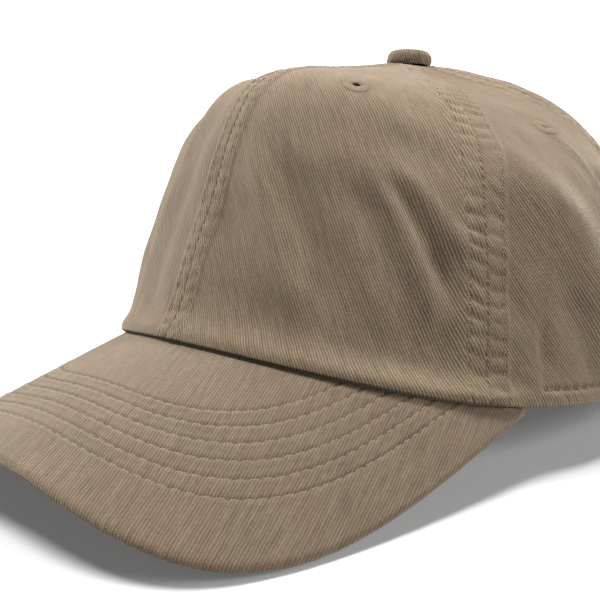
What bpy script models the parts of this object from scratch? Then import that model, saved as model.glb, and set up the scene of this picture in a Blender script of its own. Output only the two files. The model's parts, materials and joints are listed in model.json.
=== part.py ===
"""Six-panel unstructured baseball cap with a curved bill and a strap-and-buckle back.

The cap is modelled in its own sewing frame: the front centre of the crown's rim is at
(0, -RIM_FRONT, 0), +Z runs up through the button, -Y points out over the bill and +X is the
wearer's left. An empty then leans the finished cap back until it stands on the two side
edges of the bill and on the rear rim, as a cap put down on a table does.
"""
import math

import bmesh
import bpy
import numpy as np
from mathutils import Matrix, Vector

# ---------------------------------------------------------------- driving dimensions, metres
RIM_HALF_WIDTH = 0.0847
RIM_FRONT = 0.1016
RIM_REAR = 0.1039
CROWN_HEIGHT = 0.0897
REAR_RIM_DROP = 0.0187
CLOTH = 0.0007
GAP = 0.0003
SEAM_GAP = 0.0004

# Each meridian of the crown is a cubic curve with a handle at the apex and one at the rim.
# A handle's value is first + second * cos(angle) + third * cos(2 * angle), where the angle
# is 0 at the front centre and 180 degrees at the rear centre.
APEX_PULL = (0.706, 0.119, 0.020)
APEX_FALL = (0.0102, 0.0128, -0.0092)
APEX_FALL_SOFTNESS = 0.004
RIM_PULL = (0.827, -0.071, -0.110)
RIM_LIFT = (0.899, 0.081, 0.095)
SEAM_ANGLES = tuple(math.radians(degrees) for degrees in (0.0, 61.3, 118.2, 180.0))
APEX_HOLE = 0.0034

BILL_ARCH_RADIUS = 0.103
BILL_PITCH = math.radians(20.4)
BILL_REACH = 0.1292
BILL_HALF_WIDTH = 0.0911
BILL_SIDE_POWER = 2.65
BILL_FRONT_POWER = 3.83
BILL_CORNER_ANGLE = math.radians(68.4)
COVER_CLOTH = 0.0006
BILL_TOP_DEPTH = 0.00035
BOARD_THICKNESS = 0.0015
BOARD_INSET = 0.0013

EYELET_SHARE = 0.43
EYELET_HOLE_RADIUS = 0.0012
EYELET_BARREL_RADIUS = 0.0018
EYELET_FLANGE_RADIUS = 0.0041
EYELET_FLANGE = 0.0007

TAPE_WIDTH = 0.016
TAPE_THICKNESS = 0.0005
TAPE_START = 0.0095
TAPE_CLEARANCE = 0.004
SWEATBAND_HEIGHT = 0.032
SWEATBAND_THICKNESS = 0.0009
SWEATBAND_DEPTH = 0.0012
SWEATBAND_FOOT = 0.002
POCKET_DEPTH = 0.0054
POCKET_START_ANGLE = math.radians(104.0)
POCKET_FULL_ANGLE = math.radians(126.0)

ARCH_HALF_WIDTH = 0.034
ARCH_HEIGHT = 0.044
ARCH_LEG = 0.012
BINDING_WIDTH = 0.009
BINDING_THICKNESS = 0.0008
BINDING_START = math.radians(27.0)
BINDING_EDGE = 0.0006
LABEL_ANGLES = (math.radians(128.0), math.radians(147.0))
LABEL_HEIGHTS = (0.006, 0.028)
LABEL_THICKNESS = 0.0004

BUTTON_RADIUS = 0.0078
BUTTON_FLAT_RADIUS = 0.0042
BUTTON_HEIGHT = 0.0040
RIVET_RADIUS = 0.0015
BUTTON_SKIN = 0.00045
BUTTON_BASE = 0.0004

# The strap lies on a cone whose axis is vertical, so it can slide along its own arc.
STRAP_RADIUS = 0.0741
STRAP_AXIS_Y = 0.0246
STRAP_LEAN = math.radians(11.0)
STRAP_ABOVE_RIM = 0.0032
STRAP_WIDTH = 0.020
STRAP_THICKNESS = 0.0012
STRAP_SEWN_END = 0.051
STRAP_TAIL_END = -0.056
BUCKLE_ENDS = (-0.0305, -0.0075)
BUCKLE_WALL = 0.0012
BUCKLE_PLATE = 0.0008
BUCKLE_STEP = 0.0003
BUCKLE_EAR_TOP = 0.0038
PIN_PLACE = (-0.0095, 0.0021)
PIN_RADIUS = 0.00075
KNUCKLE_RADIUS = 0.00175
LEVER_END = -0.0255
LEVER_OUT = (0.0024, 0.0034)
SIDE_SLACK = GAP + 0.0002
BAR_PLACE = (-0.0295, 0.0024)
BAR_RADIUS = 0.0008
LOOP_PLY = 0.0007
LOOP_END = -0.050

MERIDIAN_STEPS = 11
PANEL_STEPS = 10
BILL_ACROSS = 26
BILL_FORWARD = 5
FULL_TURN = 2.0 * math.pi

COLLECTION = "baseball_cap"
KHAKI = (0.330, 0.262, 0.182)
KHAKI_DARK = (0.270, 0.212, 0.146)
LINING = (0.380, 0.310, 0.222)
BRASS = (0.330, 0.235, 0.110)
STEEL = (0.420, 0.410, 0.390)
WHITE_CLOTH = (0.750, 0.740, 0.700)


# ---------------------------------------------------------------- the crown's surface
def harmonic(terms, angle):
    """A handle's value at an angle round the crown."""
    return terms[0] + terms[1] * np.cos(angle) + terms[2] * np.cos(2.0 * angle)


def rim_plan(angle):
    """Where the rim is, seen from above."""
    depth = np.where(np.cos(angle) > 0.0, RIM_FRONT, RIM_REAR)
    return RIM_HALF_WIDTH * np.sin(angle), -depth * np.cos(angle)


def bill_height(x, y):
    """Height of the bill's arched and pitched surface over a point of the plan."""
    arch = BILL_ARCH_RADIUS - np.sqrt(BILL_ARCH_RADIUS ** 2 - x * x)
    return -arch + (y + RIM_FRONT) * math.tan(BILL_PITCH)


def rim_height(angle):
    """The rim lies on the bill in front, then runs in one smooth sweep to the rear centre."""
    angle = np.abs((np.asarray(angle, float) + math.pi) % FULL_TURN - math.pi)
    in_front = bill_height(*rim_plan(np.minimum(angle, BILL_CORNER_ANGLE)))
    step = 0.001
    corner = float(bill_height(*rim_plan(BILL_CORNER_ANGLE)))
    before = float(bill_height(*rim_plan(BILL_CORNER_ANGLE - step)))
    sweep = math.pi - BILL_CORNER_ANGLE
    along = np.clip((angle - BILL_CORNER_ANGLE) / sweep, 0.0, 1.0)
    start_value = 2.0 * along ** 3 - 3.0 * along ** 2 + 1.0
    start_slope = along ** 3 - 2.0 * along ** 2 + along
    slope = (corner - before) / step * sweep
    behind = start_value * corner + start_slope * slope - (1.0 - start_value) * REAR_RIM_DROP
    return np.where(angle <= BILL_CORNER_ANGLE, in_front, behind)


def crown_surface(angle, share):
    """Outer face of the crown: share is 0 at the apex and 1 at the rim."""
    angle, share = np.broadcast_arrays(np.asarray(angle, float), np.asarray(share, float))
    fall = harmonic(APEX_FALL, angle)
    fall = 0.5 * (fall + np.sqrt(fall ** 2 + APEX_FALL_SOFTNESS ** 2))
    rim_x, rim_y = rim_plan(angle)
    rim_z = rim_height(angle)
    apex_part = (1.0 - share) ** 3
    apex_handle = 3.0 * share * (1.0 - share) ** 2
    rim_handle = 3.0 * share ** 2 * (1.0 - share)
    rim_part = share ** 3
    reach = apex_handle * harmonic(APEX_PULL, angle) + rim_handle * harmonic(RIM_PULL, angle)
    reach = reach + rim_part
    lifted = rim_z + harmonic(RIM_LIFT, angle) * (CROWN_HEIGHT - rim_z)
    height = apex_part * CROWN_HEIGHT + apex_handle * (CROWN_HEIGHT - fall)
    height = height + rim_handle * lifted + rim_part * rim_z
    return np.stack([reach * rim_x, reach * rim_y, height], -1)


def unit(vectors):
    return vectors / np.linalg.norm(vectors, axis=-1, keepdims=True)


def crown_normal(angle, share):
    """Outward normal of the crown, from its two tangents."""
    step = 0.0005
    share = np.clip(share, 4.0 * step, 1.0 - step)
    round_it = crown_surface(angle + step, share) - crown_surface(angle - step, share)
    down_it = crown_surface(angle, share + step) - crown_surface(angle, share - step)
    return unit(np.cross(down_it, round_it))


def crown_at(angle, share, depth=0.0):
    """A point at a depth under the crown's outer face."""
    angle, share = np.broadcast_arrays(np.asarray(angle, float), np.asarray(share, float))
    depth = np.asarray(depth, float)[..., None]
    return crown_surface(angle, share) - depth * crown_normal(angle, share)


def share_above_rim(angle, length):
    """The share at which the cloth is a given length above the rim."""
    shares = np.linspace(1.0, 0.4, 121)
    points = crown_surface(angle, shares)
    walked = np.cumsum(np.linalg.norm(np.diff(points, axis=0), axis=1))
    return float(np.interp(length, np.concatenate([[0.0], walked]), shares))


def share_at_radius(angle, radius):
    """The share at which the crown is a given distance from the axis through its apex."""
    shares = np.linspace(0.0, 0.6, 241)
    points = crown_surface(angle, shares)
    return float(np.interp(radius, np.hypot(points[:, 0], points[:, 1]), shares))


def beside_seam(seam, side, shares, offset):
    """Angles that keep a fixed distance from a seam, on one side of it."""
    points = crown_surface(seam, shares)
    return seam + side * offset / np.maximum(np.hypot(points[:, 0], points[:, 1]), 0.001)


# ---------------------------------------------------------------- the bill's surface
def bill_at(across, forward, depth=0.0):
    """A point of the flat bill pattern, bent over the arch, at a depth under its top."""
    turn = np.asarray(across, float) / BILL_ARCH_RADIUS
    forward = np.asarray(forward, float)
    x = BILL_ARCH_RADIUS * np.sin(turn)
    y = -RIM_FRONT - forward * math.cos(BILL_PITCH)
    z = -BILL_ARCH_RADIUS * (1.0 - np.cos(turn)) - forward * math.sin(BILL_PITCH)
    normal = np.stack([
        np.sin(turn) * math.cos(BILL_PITCH),
        -np.cos(turn) * math.sin(BILL_PITCH),
        np.cos(turn) * math.cos(BILL_PITCH),
    ], -1)
    return np.stack([x, y, z], -1) - np.asarray(depth, float)[..., None] * unit(normal)


def rim_on_pattern(angle):
    """The rim as a line on the flat bill pattern."""
    rim_x, rim_y = rim_plan(angle)
    across = BILL_ARCH_RADIUS * np.arcsin(rim_x / BILL_ARCH_RADIUS)
    return across, -(rim_y + RIM_FRONT) / math.cos(BILL_PITCH)


def bill_edge(turn, inset):
    """The bill's outer edge on the flat pattern; turn runs from 0 to pi, right to left."""
    back = float(rim_on_pattern(BILL_CORNER_ANGLE)[1])
    side = np.abs(np.cos(turn)) ** (2.0 / BILL_SIDE_POWER)
    front = np.abs(np.sin(turn)) ** (2.0 / BILL_FRONT_POWER)
    across = (BILL_HALF_WIDTH - inset) * np.sign(np.cos(turn)) * side
    return across, back + (BILL_REACH - inset) * front


def bill_pattern(inset):
    """Grid of pattern points between the rim and the bill's edge."""
    steps = np.linspace(1.0, -1.0, BILL_ACROSS + 1)
    inner = np.stack(rim_on_pattern(BILL_CORNER_ANGLE * steps), -1)
    turn = np.pi * (0.5 - 0.5 * np.sign(steps) * np.abs(steps) ** 0.85)
    outer = np.stack(bill_edge(turn, inset), -1)
    shares = np.linspace(0.0, 1.0, BILL_FORWARD + 1)[:, None, None]
    return inner[None] * (1.0 - shares) + outer[None] * shares


# ---------------------------------------------------------------- the rear closure's cone
def closure_at(along, out, up):
    """A point of the closure: along the strap's arc, out from its outer face, up its width."""
    turn = np.asarray(along, float) / STRAP_RADIUS
    out = np.asarray(out, float)
    up = np.asarray(up, float)
    radius = STRAP_RADIUS + out * math.cos(STRAP_LEAN) - up * math.sin(STRAP_LEAN)
    z = -REAR_RIM_DROP + STRAP_ABOVE_RIM + up * math.cos(STRAP_LEAN) + out * math.sin(STRAP_LEAN)
    x = radius * np.sin(turn)
    y = STRAP_AXIS_Y + radius * np.cos(turn)
    return np.stack(np.broadcast_arrays(x, y, z), -1)


# ---------------------------------------------------------------- Blender helpers
def clear_scene():
    for old in list(bpy.data.objects):
        bpy.data.objects.remove(old, do_unlink=True)


def new_collection(name):
    collection = bpy.data.collections.new(name)
    bpy.context.scene.collection.children.link(collection)
    return collection


def finish(name, colour, roughness, metallic=0.0):
    """A plain Principled material."""
    material = bpy.data.materials.new(name)
    material.use_nodes = True
    shader = material.node_tree.nodes["Principled BSDF"]
    shader.inputs["Base Color"].default_value = (*colour, 1.0)
    shader.inputs["Roughness"].default_value = roughness
    shader.inputs["Metallic"].default_value = metallic
    material.diffuse_color = (*colour, 1.0)
    return material


def add_mesh(name, points, faces, look, holder):
    """One object from points and faces, with its own material, parented to the stand."""
    mesh = bpy.data.meshes.new(name)
    mesh.from_pydata([tuple(point) for point in points], [], faces)
    mesh.materials.append(finish(name, *look))
    item = bpy.data.objects.new(name, mesh)
    holder["collection"].objects.link(item)
    item.parent = holder["stand"]
    return item


def sheet(name, grid, look, holder, flip=False):
    """An open surface from a grid of points; its outer side is that of rows x columns."""
    rows, columns = grid.shape[:2]
    faces = []
    for row in range(rows - 1):
        for column in range(columns - 1):
            first = row * columns + column
            face = (first, first + columns, first + columns + 1, first + 1)
            faces.append(face[::-1] if flip else face)
    return add_mesh(name, grid.reshape(-1, 3), faces, look, holder)


def thicken(item, thickness):
    """Give a sheet its thickness, on the inner side of its faces."""
    modifier = item.modifiers.new("thickness", "SOLIDIFY")
    modifier.thickness = thickness
    modifier.offset = -1.0
    modifier.use_even_offset = True


def loft(name, sections, look, holder, flip=False):
    """A closed body through rings of points, with a flat cap on each end."""
    count = len(sections[0])
    points = [point for section in sections for point in section]
    faces = [tuple(range(count))[::-1]]
    for station in range(len(sections) - 1):
        for corner in range(count):
            after = (corner + 1) % count
            low = station * count
            faces.append((low + corner, low + after, low + count + after, low + count + corner))
    faces.append(tuple(range((len(sections) - 1) * count, len(sections) * count)))
    if flip:
        faces = [face[::-1] for face in faces]
    return add_mesh(name, points, faces, look, holder)


def turned(name, profile, look, holder, closed, steps=24):
    """A profile of (radius, height) pairs turned about Z with a Screw modifier."""
    points = [(radius, 0.0, height) for radius, height in profile]
    mesh = bpy.data.meshes.new(name)
    edges = [(index, index + 1) for index in range(len(points) - 1)]
    if closed:
        edges.append((len(points) - 1, 0))
    mesh.from_pydata(points, edges, [])
    mesh.materials.append(finish(name, *look))
    item = bpy.data.objects.new(name, mesh)
    holder["collection"].objects.link(item)
    item.parent = holder["stand"]
    screw = item.modifiers.new("turn", "SCREW")
    screw.steps = steps
    screw.render_steps = steps
    screw.use_merge_vertices = True
    screw.merge_threshold = 0.00005
    return item


def cut(item, cutter, operation="DIFFERENCE"):
    modifier = item.modifiers.new(cutter.name, "BOOLEAN")
    modifier.operation = operation
    modifier.solver = "EXACT"
    modifier.object = cutter


def mark_cutter(item, holder):
    """Move an object to the cutters' collection."""
    holder["collection"].objects.unlink(item)
    holder["cutters"].objects.link(item)
    item.hide_render = True
    item.display_type = "WIRE"


def set_origin(item, origin):
    """Put a piece's origin on its joint's axis without moving its shape."""
    item.data.transform(Matrix.Translation(-Vector(origin)))
    item.location = origin


def rod(name, start, end, radius, look, holder, sides=12):
    """A cylinder between two points."""
    start = Vector(start)
    end = Vector(end)
    mesh = bpy.data.meshes.new(name)
    shape = bmesh.new()
    bmesh.ops.create_cone(shape, cap_ends=True, segments=sides, radius1=radius, radius2=radius,
                          depth=(end - start).length)
    shape.to_mesh(mesh)
    shape.free()
    mesh.materials.append(finish(name, *look))
    item = bpy.data.objects.new(name, mesh)
    holder["collection"].objects.link(item)
    item.parent = holder["stand"]
    item.rotation_euler = (end - start).to_track_quat("Z", "Y").to_euler()
    item.location = (start + end) / 2.0
    return item


# ---------------------------------------------------------------- crown
def panel_names():
    """Name, first seam and last seam of each panel, with angles rising to the left."""
    names = []
    for place, first, last in zip(("front", "side", "rear"), SEAM_ANGLES[:-1], SEAM_ANGLES[1:]):
        names.append((f"{place}_left", first, last))
        names.append((f"{place}_right", -last, -first))
    return names


def make_panel(name, first, last, holder):
    """One gore of the crown, from the small hole at the apex down to the rim."""
    middle = 0.5 * (first + last)
    shares = np.linspace(share_at_radius(middle, APEX_HOLE), 1.0, MERIDIAN_STEPS + 1)
    low = beside_seam(first, 1.0, shares, SEAM_GAP / 2.0)
    high = beside_seam(last, -1.0, shares, SEAM_GAP / 2.0)
    steps = np.linspace(0.0, 1.0, PANEL_STEPS + 1)
    angles = low[:, None] * (1.0 - steps) + high[:, None] * steps
    grid = crown_surface(angles, shares[:, None])
    panel = sheet(f"{name}_panel", grid, (KHAKI, 0.9), holder)
    thicken(panel, CLOTH)
    return panel


def make_arch_cutter(holder):
    """The rear opening: a rounded doorway that runs through the rear panels."""
    foot = -REAR_RIM_DROP - 0.01
    spring_line = -REAR_RIM_DROP + ARCH_LEG
    turns = np.linspace(0.0, math.pi, 17)
    outline = [(-ARCH_HALF_WIDTH, foot), (ARCH_HALF_WIDTH, foot)]
    for turn in turns:
        outline.append((ARCH_HALF_WIDTH * math.cos(turn),
                        spring_line + (ARCH_HEIGHT - ARCH_LEG) * math.sin(turn)))
    sections = [[(x, y, z) for x, z in outline] for y in (0.14, 0.05)]
    cutter = loft("rear_opening_cutter", sections, (KHAKI, 0.9), holder)
    mark_cutter(cutter, holder)
    return cutter


def normal_placement(angle, share):
    """A placement whose Z is the crown's outward normal at a point."""
    point = Vector(crown_surface(angle, share))
    normal = Vector(crown_normal(np.array(angle), np.array(share)))
    return Matrix.Translation(point) @ normal.to_track_quat("Z", "Y").to_matrix().to_4x4()


def make_eyelet(name, panel, angle, holder):
    """An embroidered eyelet: a ring on each face, joined by a barrel through the cloth."""
    placement = normal_placement(angle, EYELET_SHARE)
    face = 2.0 * GAP
    under = -CLOTH - 2.2 * GAP
    profile = [
        (EYELET_HOLE_RADIUS, face + EYELET_FLANGE),
        (EYELET_FLANGE_RADIUS - 0.0008, face + EYELET_FLANGE),
        (EYELET_FLANGE_RADIUS, face + 0.3 * EYELET_FLANGE),
        (EYELET_FLANGE_RADIUS - 0.0003, face),
        (EYELET_BARREL_RADIUS, face),
        (EYELET_BARREL_RADIUS, under),
        (EYELET_FLANGE_RADIUS - 0.0008, under),
        (EYELET_FLANGE_RADIUS - 0.0012, under - EYELET_FLANGE),
        (EYELET_HOLE_RADIUS, under - EYELET_FLANGE),
    ]
    eyelet = turned(f"{name}_eyelet", profile, (KHAKI_DARK, 0.8), holder, closed=True, steps=16)
    eyelet.matrix_local = placement
    reach = 0.006
    cutter = rod(f"{name}_eyelet_cutter", (0, 0, -reach), (0, 0, reach),
                 EYELET_BARREL_RADIUS + GAP, (KHAKI, 0.9), holder)
    cutter.matrix_local = placement
    mark_cutter(cutter, holder)
    cut(panel, cutter)
    return eyelet


def make_crown(holder):
    arch = make_arch_cutter(holder)
    for name, first, last in panel_names():
        panel = make_panel(name, first, last, holder)
        make_eyelet(name, panel, 0.5 * (first + last), holder)
        if name.startswith("rear"):
            cut(panel, arch)


def tape_names():
    left = [("front_seam_tape", SEAM_ANGLES[0])]
    for place, angle in (("front_side", SEAM_ANGLES[1]), ("rear_side", SEAM_ANGLES[2])):
        left.append((f"left_{place}_seam_tape", angle))
        left.append((f"right_{place}_seam_tape", -angle))
    return left + [("rear_seam_tape", SEAM_ANGLES[3])]


def make_tape(name, seam, holder):
    """A cotton tape that covers one seam inside, narrowing where all six meet."""
    over_arch = ARCH_HEIGHT + BINDING_WIDTH + TAPE_CLEARANCE
    foot = over_arch if seam == SEAM_ANGLES[3] else SWEATBAND_HEIGHT + TAPE_CLEARANCE
    shares = np.linspace(share_at_radius(seam, TAPE_START), share_above_rim(seam, foot), 9)
    points = crown_surface(seam, shares)
    radius = np.hypot(points[:, 0], points[:, 1])
    half = np.minimum(TAPE_WIDTH / 2.0, 0.42 * radius)
    sides = np.linspace(-1.0, 1.0, 3)
    angles = seam + sides[None, :] * (half / radius)[:, None]
    grid = crown_at(angles, shares[:, None], np.full(angles.shape, CLOTH + 2.2 * GAP))
    tape = sheet(name, grid, (LINING, 0.85), holder)
    thicken(tape, TAPE_THICKNESS)
    return tape


def band_depth(angle):
    """Depth of the sweatband's outer face: a pocket for the strap opens towards the rear."""
    share = (np.abs(angle) - POCKET_START_ANGLE) / (POCKET_FULL_ANGLE - POCKET_START_ANGLE)
    share = np.clip(share, 0.0, 1.0)
    eased = share * share * (3.0 - 2.0 * share)
    return SWEATBAND_DEPTH + (POCKET_DEPTH - SWEATBAND_DEPTH) * eased


def rear_corner_angle():
    """Angle round the crown at which the rear opening meets the rim."""
    return math.pi - math.asin(ARCH_HALF_WIDTH / RIM_HALF_WIDTH)


def band_grid(first, last, foot, top, extra_depth, columns, rows):
    """A grid on the sweatband's face between two angles and two heights above the rim."""
    angles = np.linspace(first, last, columns)
    lows = np.array([share_above_rim(angle, foot) for angle in angles])
    tops = np.array([share_above_rim(angle, top) for angle in angles])
    steps = np.linspace(0.0, 1.0, rows)[:, None]
    shares = tops[None] * (1.0 - steps) + lows[None] * steps
    angles = np.broadcast_to(angles, shares.shape)
    return crown_at(angles, shares, band_depth(angles) + extra_depth)


def make_sweatband(holder):
    end = rear_corner_angle() - 0.01
    grid = band_grid(-end, end, SWEATBAND_FOOT, SWEATBAND_HEIGHT, 0.0, 61, 4)
    band = sheet("sweatband", grid, (LINING, 0.8), holder)
    thicken(band, SWEATBAND_THICKNESS)


def make_care_label(holder):
    """A blank woven label on the sweatband, behind the wearer's left ear."""
    grid = band_grid(*LABEL_ANGLES, *LABEL_HEIGHTS, SWEATBAND_THICKNESS + GAP, 6, 3)
    label = sheet("care_label", grid, (WHITE_CLOTH, 0.7), holder)
    thicken(label, LABEL_THICKNESS)


def arch_line(inset, steps):
    """Points (x, height) round the top of the rear opening, pushed outwards by inset."""
    half = ARCH_HALF_WIDTH + inset
    rise = ARCH_HEIGHT - ARCH_LEG + inset
    spring_line = -REAR_RIM_DROP + ARCH_LEG
    turns = np.linspace(BINDING_START, math.pi - BINDING_START, steps)
    return half * np.cos(turns), spring_line + rise * np.sin(turns)


def crown_behind(x, height, depth):
    """The rear of the crown at a given x and height, at a depth under the outer face."""
    low_angle = math.radians(110.0)
    side = 1.0 if x >= 0.0 else -1.0
    angle = math.pi - abs(x) / 0.1
    share = 0.8
    for _ in range(40):
        point = crown_at(angle, share, depth)
        angle = np.clip(angle + (float(point[0]) - abs(x)) / 0.09, low_angle, math.pi)
        share = np.clip(share + 0.5 * (float(point[2]) - height) / 0.1, 0.3, 1.05)
    point = crown_at(angle, share, depth)
    return (side * float(point[0]), float(point[1]), float(point[2]))


def make_arch_binding(holder):
    """The folded tape that backs the edge of the rear opening, inside the crown."""
    depth = CLOTH + 2.0 * GAP
    rows = []
    for inset in (BINDING_EDGE, BINDING_WIDTH):
        xs, heights = arch_line(inset, 17)
        rows.append([crown_behind(x, height, depth) for x, height in zip(xs, heights)])
    grid = np.array(rows)
    binding = sheet("rear_opening_binding", grid, (KHAKI, 0.9), holder, flip=True)
    thicken(binding, BINDING_THICKNESS)


# ---------------------------------------------------------------- bill
def bill_layer(name, depth, look, holder, lip=0.0, upward=False):
    """A cover of the bill. Its lip folds over the board's edge, down or up."""
    pattern = bill_pattern(0.0)
    grid = bill_at(pattern[..., 0], pattern[..., 1], np.full(pattern.shape[:2], depth))
    edge = pattern[-1]
    turned_depth = depth - lip if upward else depth + lip
    fold = bill_at(edge[:, 0], edge[:, 1], np.full(len(edge), turned_depth))
    grid = np.concatenate([grid, fold[None]])
    cover = sheet(name, grid, look, holder, flip=not upward)
    thicken(cover, COVER_CLOTH)
    return cover


def make_bill(holder):
    top = BILL_TOP_DEPTH
    board_top = top + COVER_CLOTH + GAP
    board_under = board_top + BOARD_THICKNESS
    under = board_under + GAP + COVER_CLOTH
    middle = 0.5 * (top + under)
    lip = middle - top - GAP / 2.0
    bill_layer("bill_top_cover", top, (KHAKI, 0.9), holder, lip)
    bill_layer("bill_under_cover", under, (KHAKI, 0.9), holder, lip, upward=True)
    pattern = bill_pattern(BOARD_INSET)
    pattern = pattern[:, 1:-1]
    grid = bill_at(pattern[..., 0], pattern[..., 1], np.full(pattern.shape[:2], board_top))
    board = sheet("bill_board", grid, (WHITE_CLOTH, 0.5), holder, flip=True)
    thicken(board, BOARD_THICKNESS)


# ---------------------------------------------------------------- button
def make_button(holder):
    """A covered button: fabric over a metal dome, a back disc, and a rivet to a washer."""
    place = (0.0, 0.0, CROWN_HEIGHT)
    skin = BUTTON_SKIN
    base = BUTTON_BASE
    top = BUTTON_HEIGHT
    radius = BUTTON_RADIUS
    flat = BUTTON_FLAT_RADIUS
    cover = turned("button_cover", [
        (0.0, top), (flat, top), (0.72 * radius, top - 0.0003), (0.90 * radius, top - 0.0010),
        (radius, 0.55 * top), (0.97 * radius, base + 0.0003), (0.92 * radius, base),
        (0.86 * radius, base + skin), (0.93 * radius, 0.5 * top), (0.86 * radius, top - 0.0014),
        (0.70 * radius, top - 0.0003 - skin), (flat, top - skin), (0.0, top - skin),
    ], (KHAKI, 0.9), holder, closed=False)
    shell_top = top - skin - GAP
    shell = turned("button_shell", [
        (0.0, shell_top), (0.55 * radius, shell_top - 0.0002), (0.78 * radius, 0.60 * top),
        (0.84 * radius, 0.38 * top), (0.78 * radius, 0.36 * top), (0.70 * radius, 0.56 * top),
        (0.50 * radius, shell_top - 0.0007), (0.0, shell_top - 0.0005),
    ], (STEEL, 0.4, 1.0), holder, closed=False)
    inner = RIVET_RADIUS + GAP
    back = turned("button_back", [
        (inner, 0.0011), (0.76 * radius, 0.0011), (0.76 * radius, base), (inner, base),
    ], (STEEL, 0.4, 1.0), holder, closed=True)
    washer = turned("button_washer", [
        (inner, -0.0042), (0.0078, -0.0046), (0.0078, -0.0053), (inner, -0.0049),
    ], (STEEL, 0.4, 1.0), holder, closed=True)
    rivet = turned("button_rivet", [
        (0.0, 0.0020), (RIVET_RADIUS, 0.0018), (RIVET_RADIUS, -0.0052), (0.0036, -0.0056),
        (0.0034, -0.0064), (0.0, -0.0066),
    ], (STEEL, 0.4, 1.0), holder, closed=False, steps=16)
    for item in (cover, shell, back, washer, rivet):
        item.location = place


# ---------------------------------------------------------------- rear closure
def closure_block(name, along, out, up, look, holder, steps=8):
    """A block that follows the strap's arc."""
    corners = ((out[0], up[0]), (out[1], up[0]), (out[1], up[1]), (out[0], up[1]))
    stations = np.linspace(along[0], along[1], steps + 1)
    sections = [[closure_at(place, *corner) for corner in corners] for place in stations]
    return loft(name, sections, look, holder)


def closure_rod(name, place, up, radius, look, holder, sides=12):
    """A rod across the strap's width."""
    start = closure_at(place[0], place[1], up[0])
    end = closure_at(place[0], place[1], up[1])
    return rod(name, start, end, radius, look, holder, sides)


def make_strap(holder):
    strap = closure_block("strap", (STRAP_TAIL_END, STRAP_SEWN_END), (-STRAP_THICKNESS, 0.0),
                          (0.0, STRAP_WIDTH), (KHAKI, 0.9), holder, steps=30)
    set_origin(strap, (0.0, STRAP_AXIS_Y, -REAR_RIM_DROP + STRAP_ABOVE_RIM))


def make_buckle_frame(holder):
    """Back plate under the strap, an ear above and below it, and the loop's bar."""
    look = (BRASS, 0.35, 1.0)
    under = -STRAP_THICKNESS - GAP
    slack = SIDE_SLACK
    low = (-slack - BUCKLE_WALL, -slack)
    high = (STRAP_WIDTH + slack, STRAP_WIDTH + slack + BUCKLE_WALL)
    plate_out = (under - BUCKLE_PLATE, under)
    ear_out = (under - BUCKLE_PLATE - BUCKLE_STEP, BUCKLE_EAR_TOP)
    plate_ends = (BUCKLE_ENDS[0] + BUCKLE_STEP, BUCKLE_ENDS[1] - BUCKLE_STEP)
    plate_up = (low[0] + BUCKLE_STEP, high[1] - BUCKLE_STEP)
    frame = closure_block("buckle_frame", plate_ends, plate_out, plate_up, look, holder)
    for label, up in (("low", low), ("high", high)):
        ear = closure_block(f"ear_{label}_part", BUCKLE_ENDS, ear_out, up, look, holder)
        mark_cutter(ear, holder)
        cut(frame, ear, "UNION")
    middle_of_ears = (0.5 * (low[0] + low[1]), 0.5 * (high[0] + high[1]))
    bar = closure_rod("bar_part", BAR_PLACE, middle_of_ears, BAR_RADIUS, look, holder)
    mark_cutter(bar, holder)
    cut(frame, bar, "UNION")
    bore = closure_rod("pin_bore_cutter", PIN_PLACE, (low[0] - 0.001, high[1] + 0.001),
                       PIN_RADIUS + GAP, look, holder)
    mark_cutter(bore, holder)
    cut(frame, bore)
    closure_rod("buckle_pin", PIN_PLACE, (low[0], high[1]), PIN_RADIUS, look, holder)


def make_buckle_lever(holder):
    """The clamping lever: a plate with a round knuckle that turns on the pin."""
    look = (BRASS, 0.35, 1.0)
    up = (0.0003, STRAP_WIDTH - 0.0003)
    lever = closure_block("buckle_lever", (LEVER_END, PIN_PLACE[0] - 0.0003), LEVER_OUT, up,
                          look, holder, steps=6)
    origin = closure_at(*PIN_PLACE, 0.5 * STRAP_WIDTH)
    set_origin(lever, origin)
    knuckle = closure_rod("knuckle_part", PIN_PLACE, up, KNUCKLE_RADIUS, look, holder, 16)
    mark_cutter(knuckle, holder)
    cut(lever, knuckle, "UNION")
    reach = (up[0] - 0.001, up[1] + 0.001)
    bore = closure_rod("knuckle_bore_cutter", PIN_PLACE, reach, PIN_RADIUS + GAP, look, holder, 16)
    mark_cutter(bore, holder)
    cut(lever, bore)


def make_buckle_loop(holder):
    """The cloth loop that holds the buckle: two plies sewn flat, open round the bar."""
    look = (KHAKI, 0.9)
    hole = BAR_RADIUS + GAP
    rim = hole + LOOP_PLY + 0.0002
    low = BAR_PLACE[1] - rim
    high = low + 2.0 * LOOP_PLY
    outline = [(along, low) for along in np.linspace(LOOP_END, BAR_PLACE[0], 7)[:-1]]
    for turn in np.linspace(-90.0, 130.0, 12):
        turn = math.radians(turn)
        outline.append((BAR_PLACE[0] + rim * math.cos(turn), BAR_PLACE[1] + rim * math.sin(turn)))
    taper = BAR_PLACE[0] - 0.0045
    outline += [(along, high) for along in np.linspace(taper, LOOP_END, 6)]
    width = (0.0006, STRAP_WIDTH - 0.0006)
    sections = [[closure_at(along, out, up) for along, out in outline] for up in width]
    loop = loft("buckle_loop", sections, look, holder, flip=True)
    eye = closure_rod("loop_eye_cutter", BAR_PLACE, (-0.002, STRAP_WIDTH + 0.002), hole, look,
                      holder, 16)
    mark_cutter(eye, holder)
    cut(loop, eye)


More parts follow.
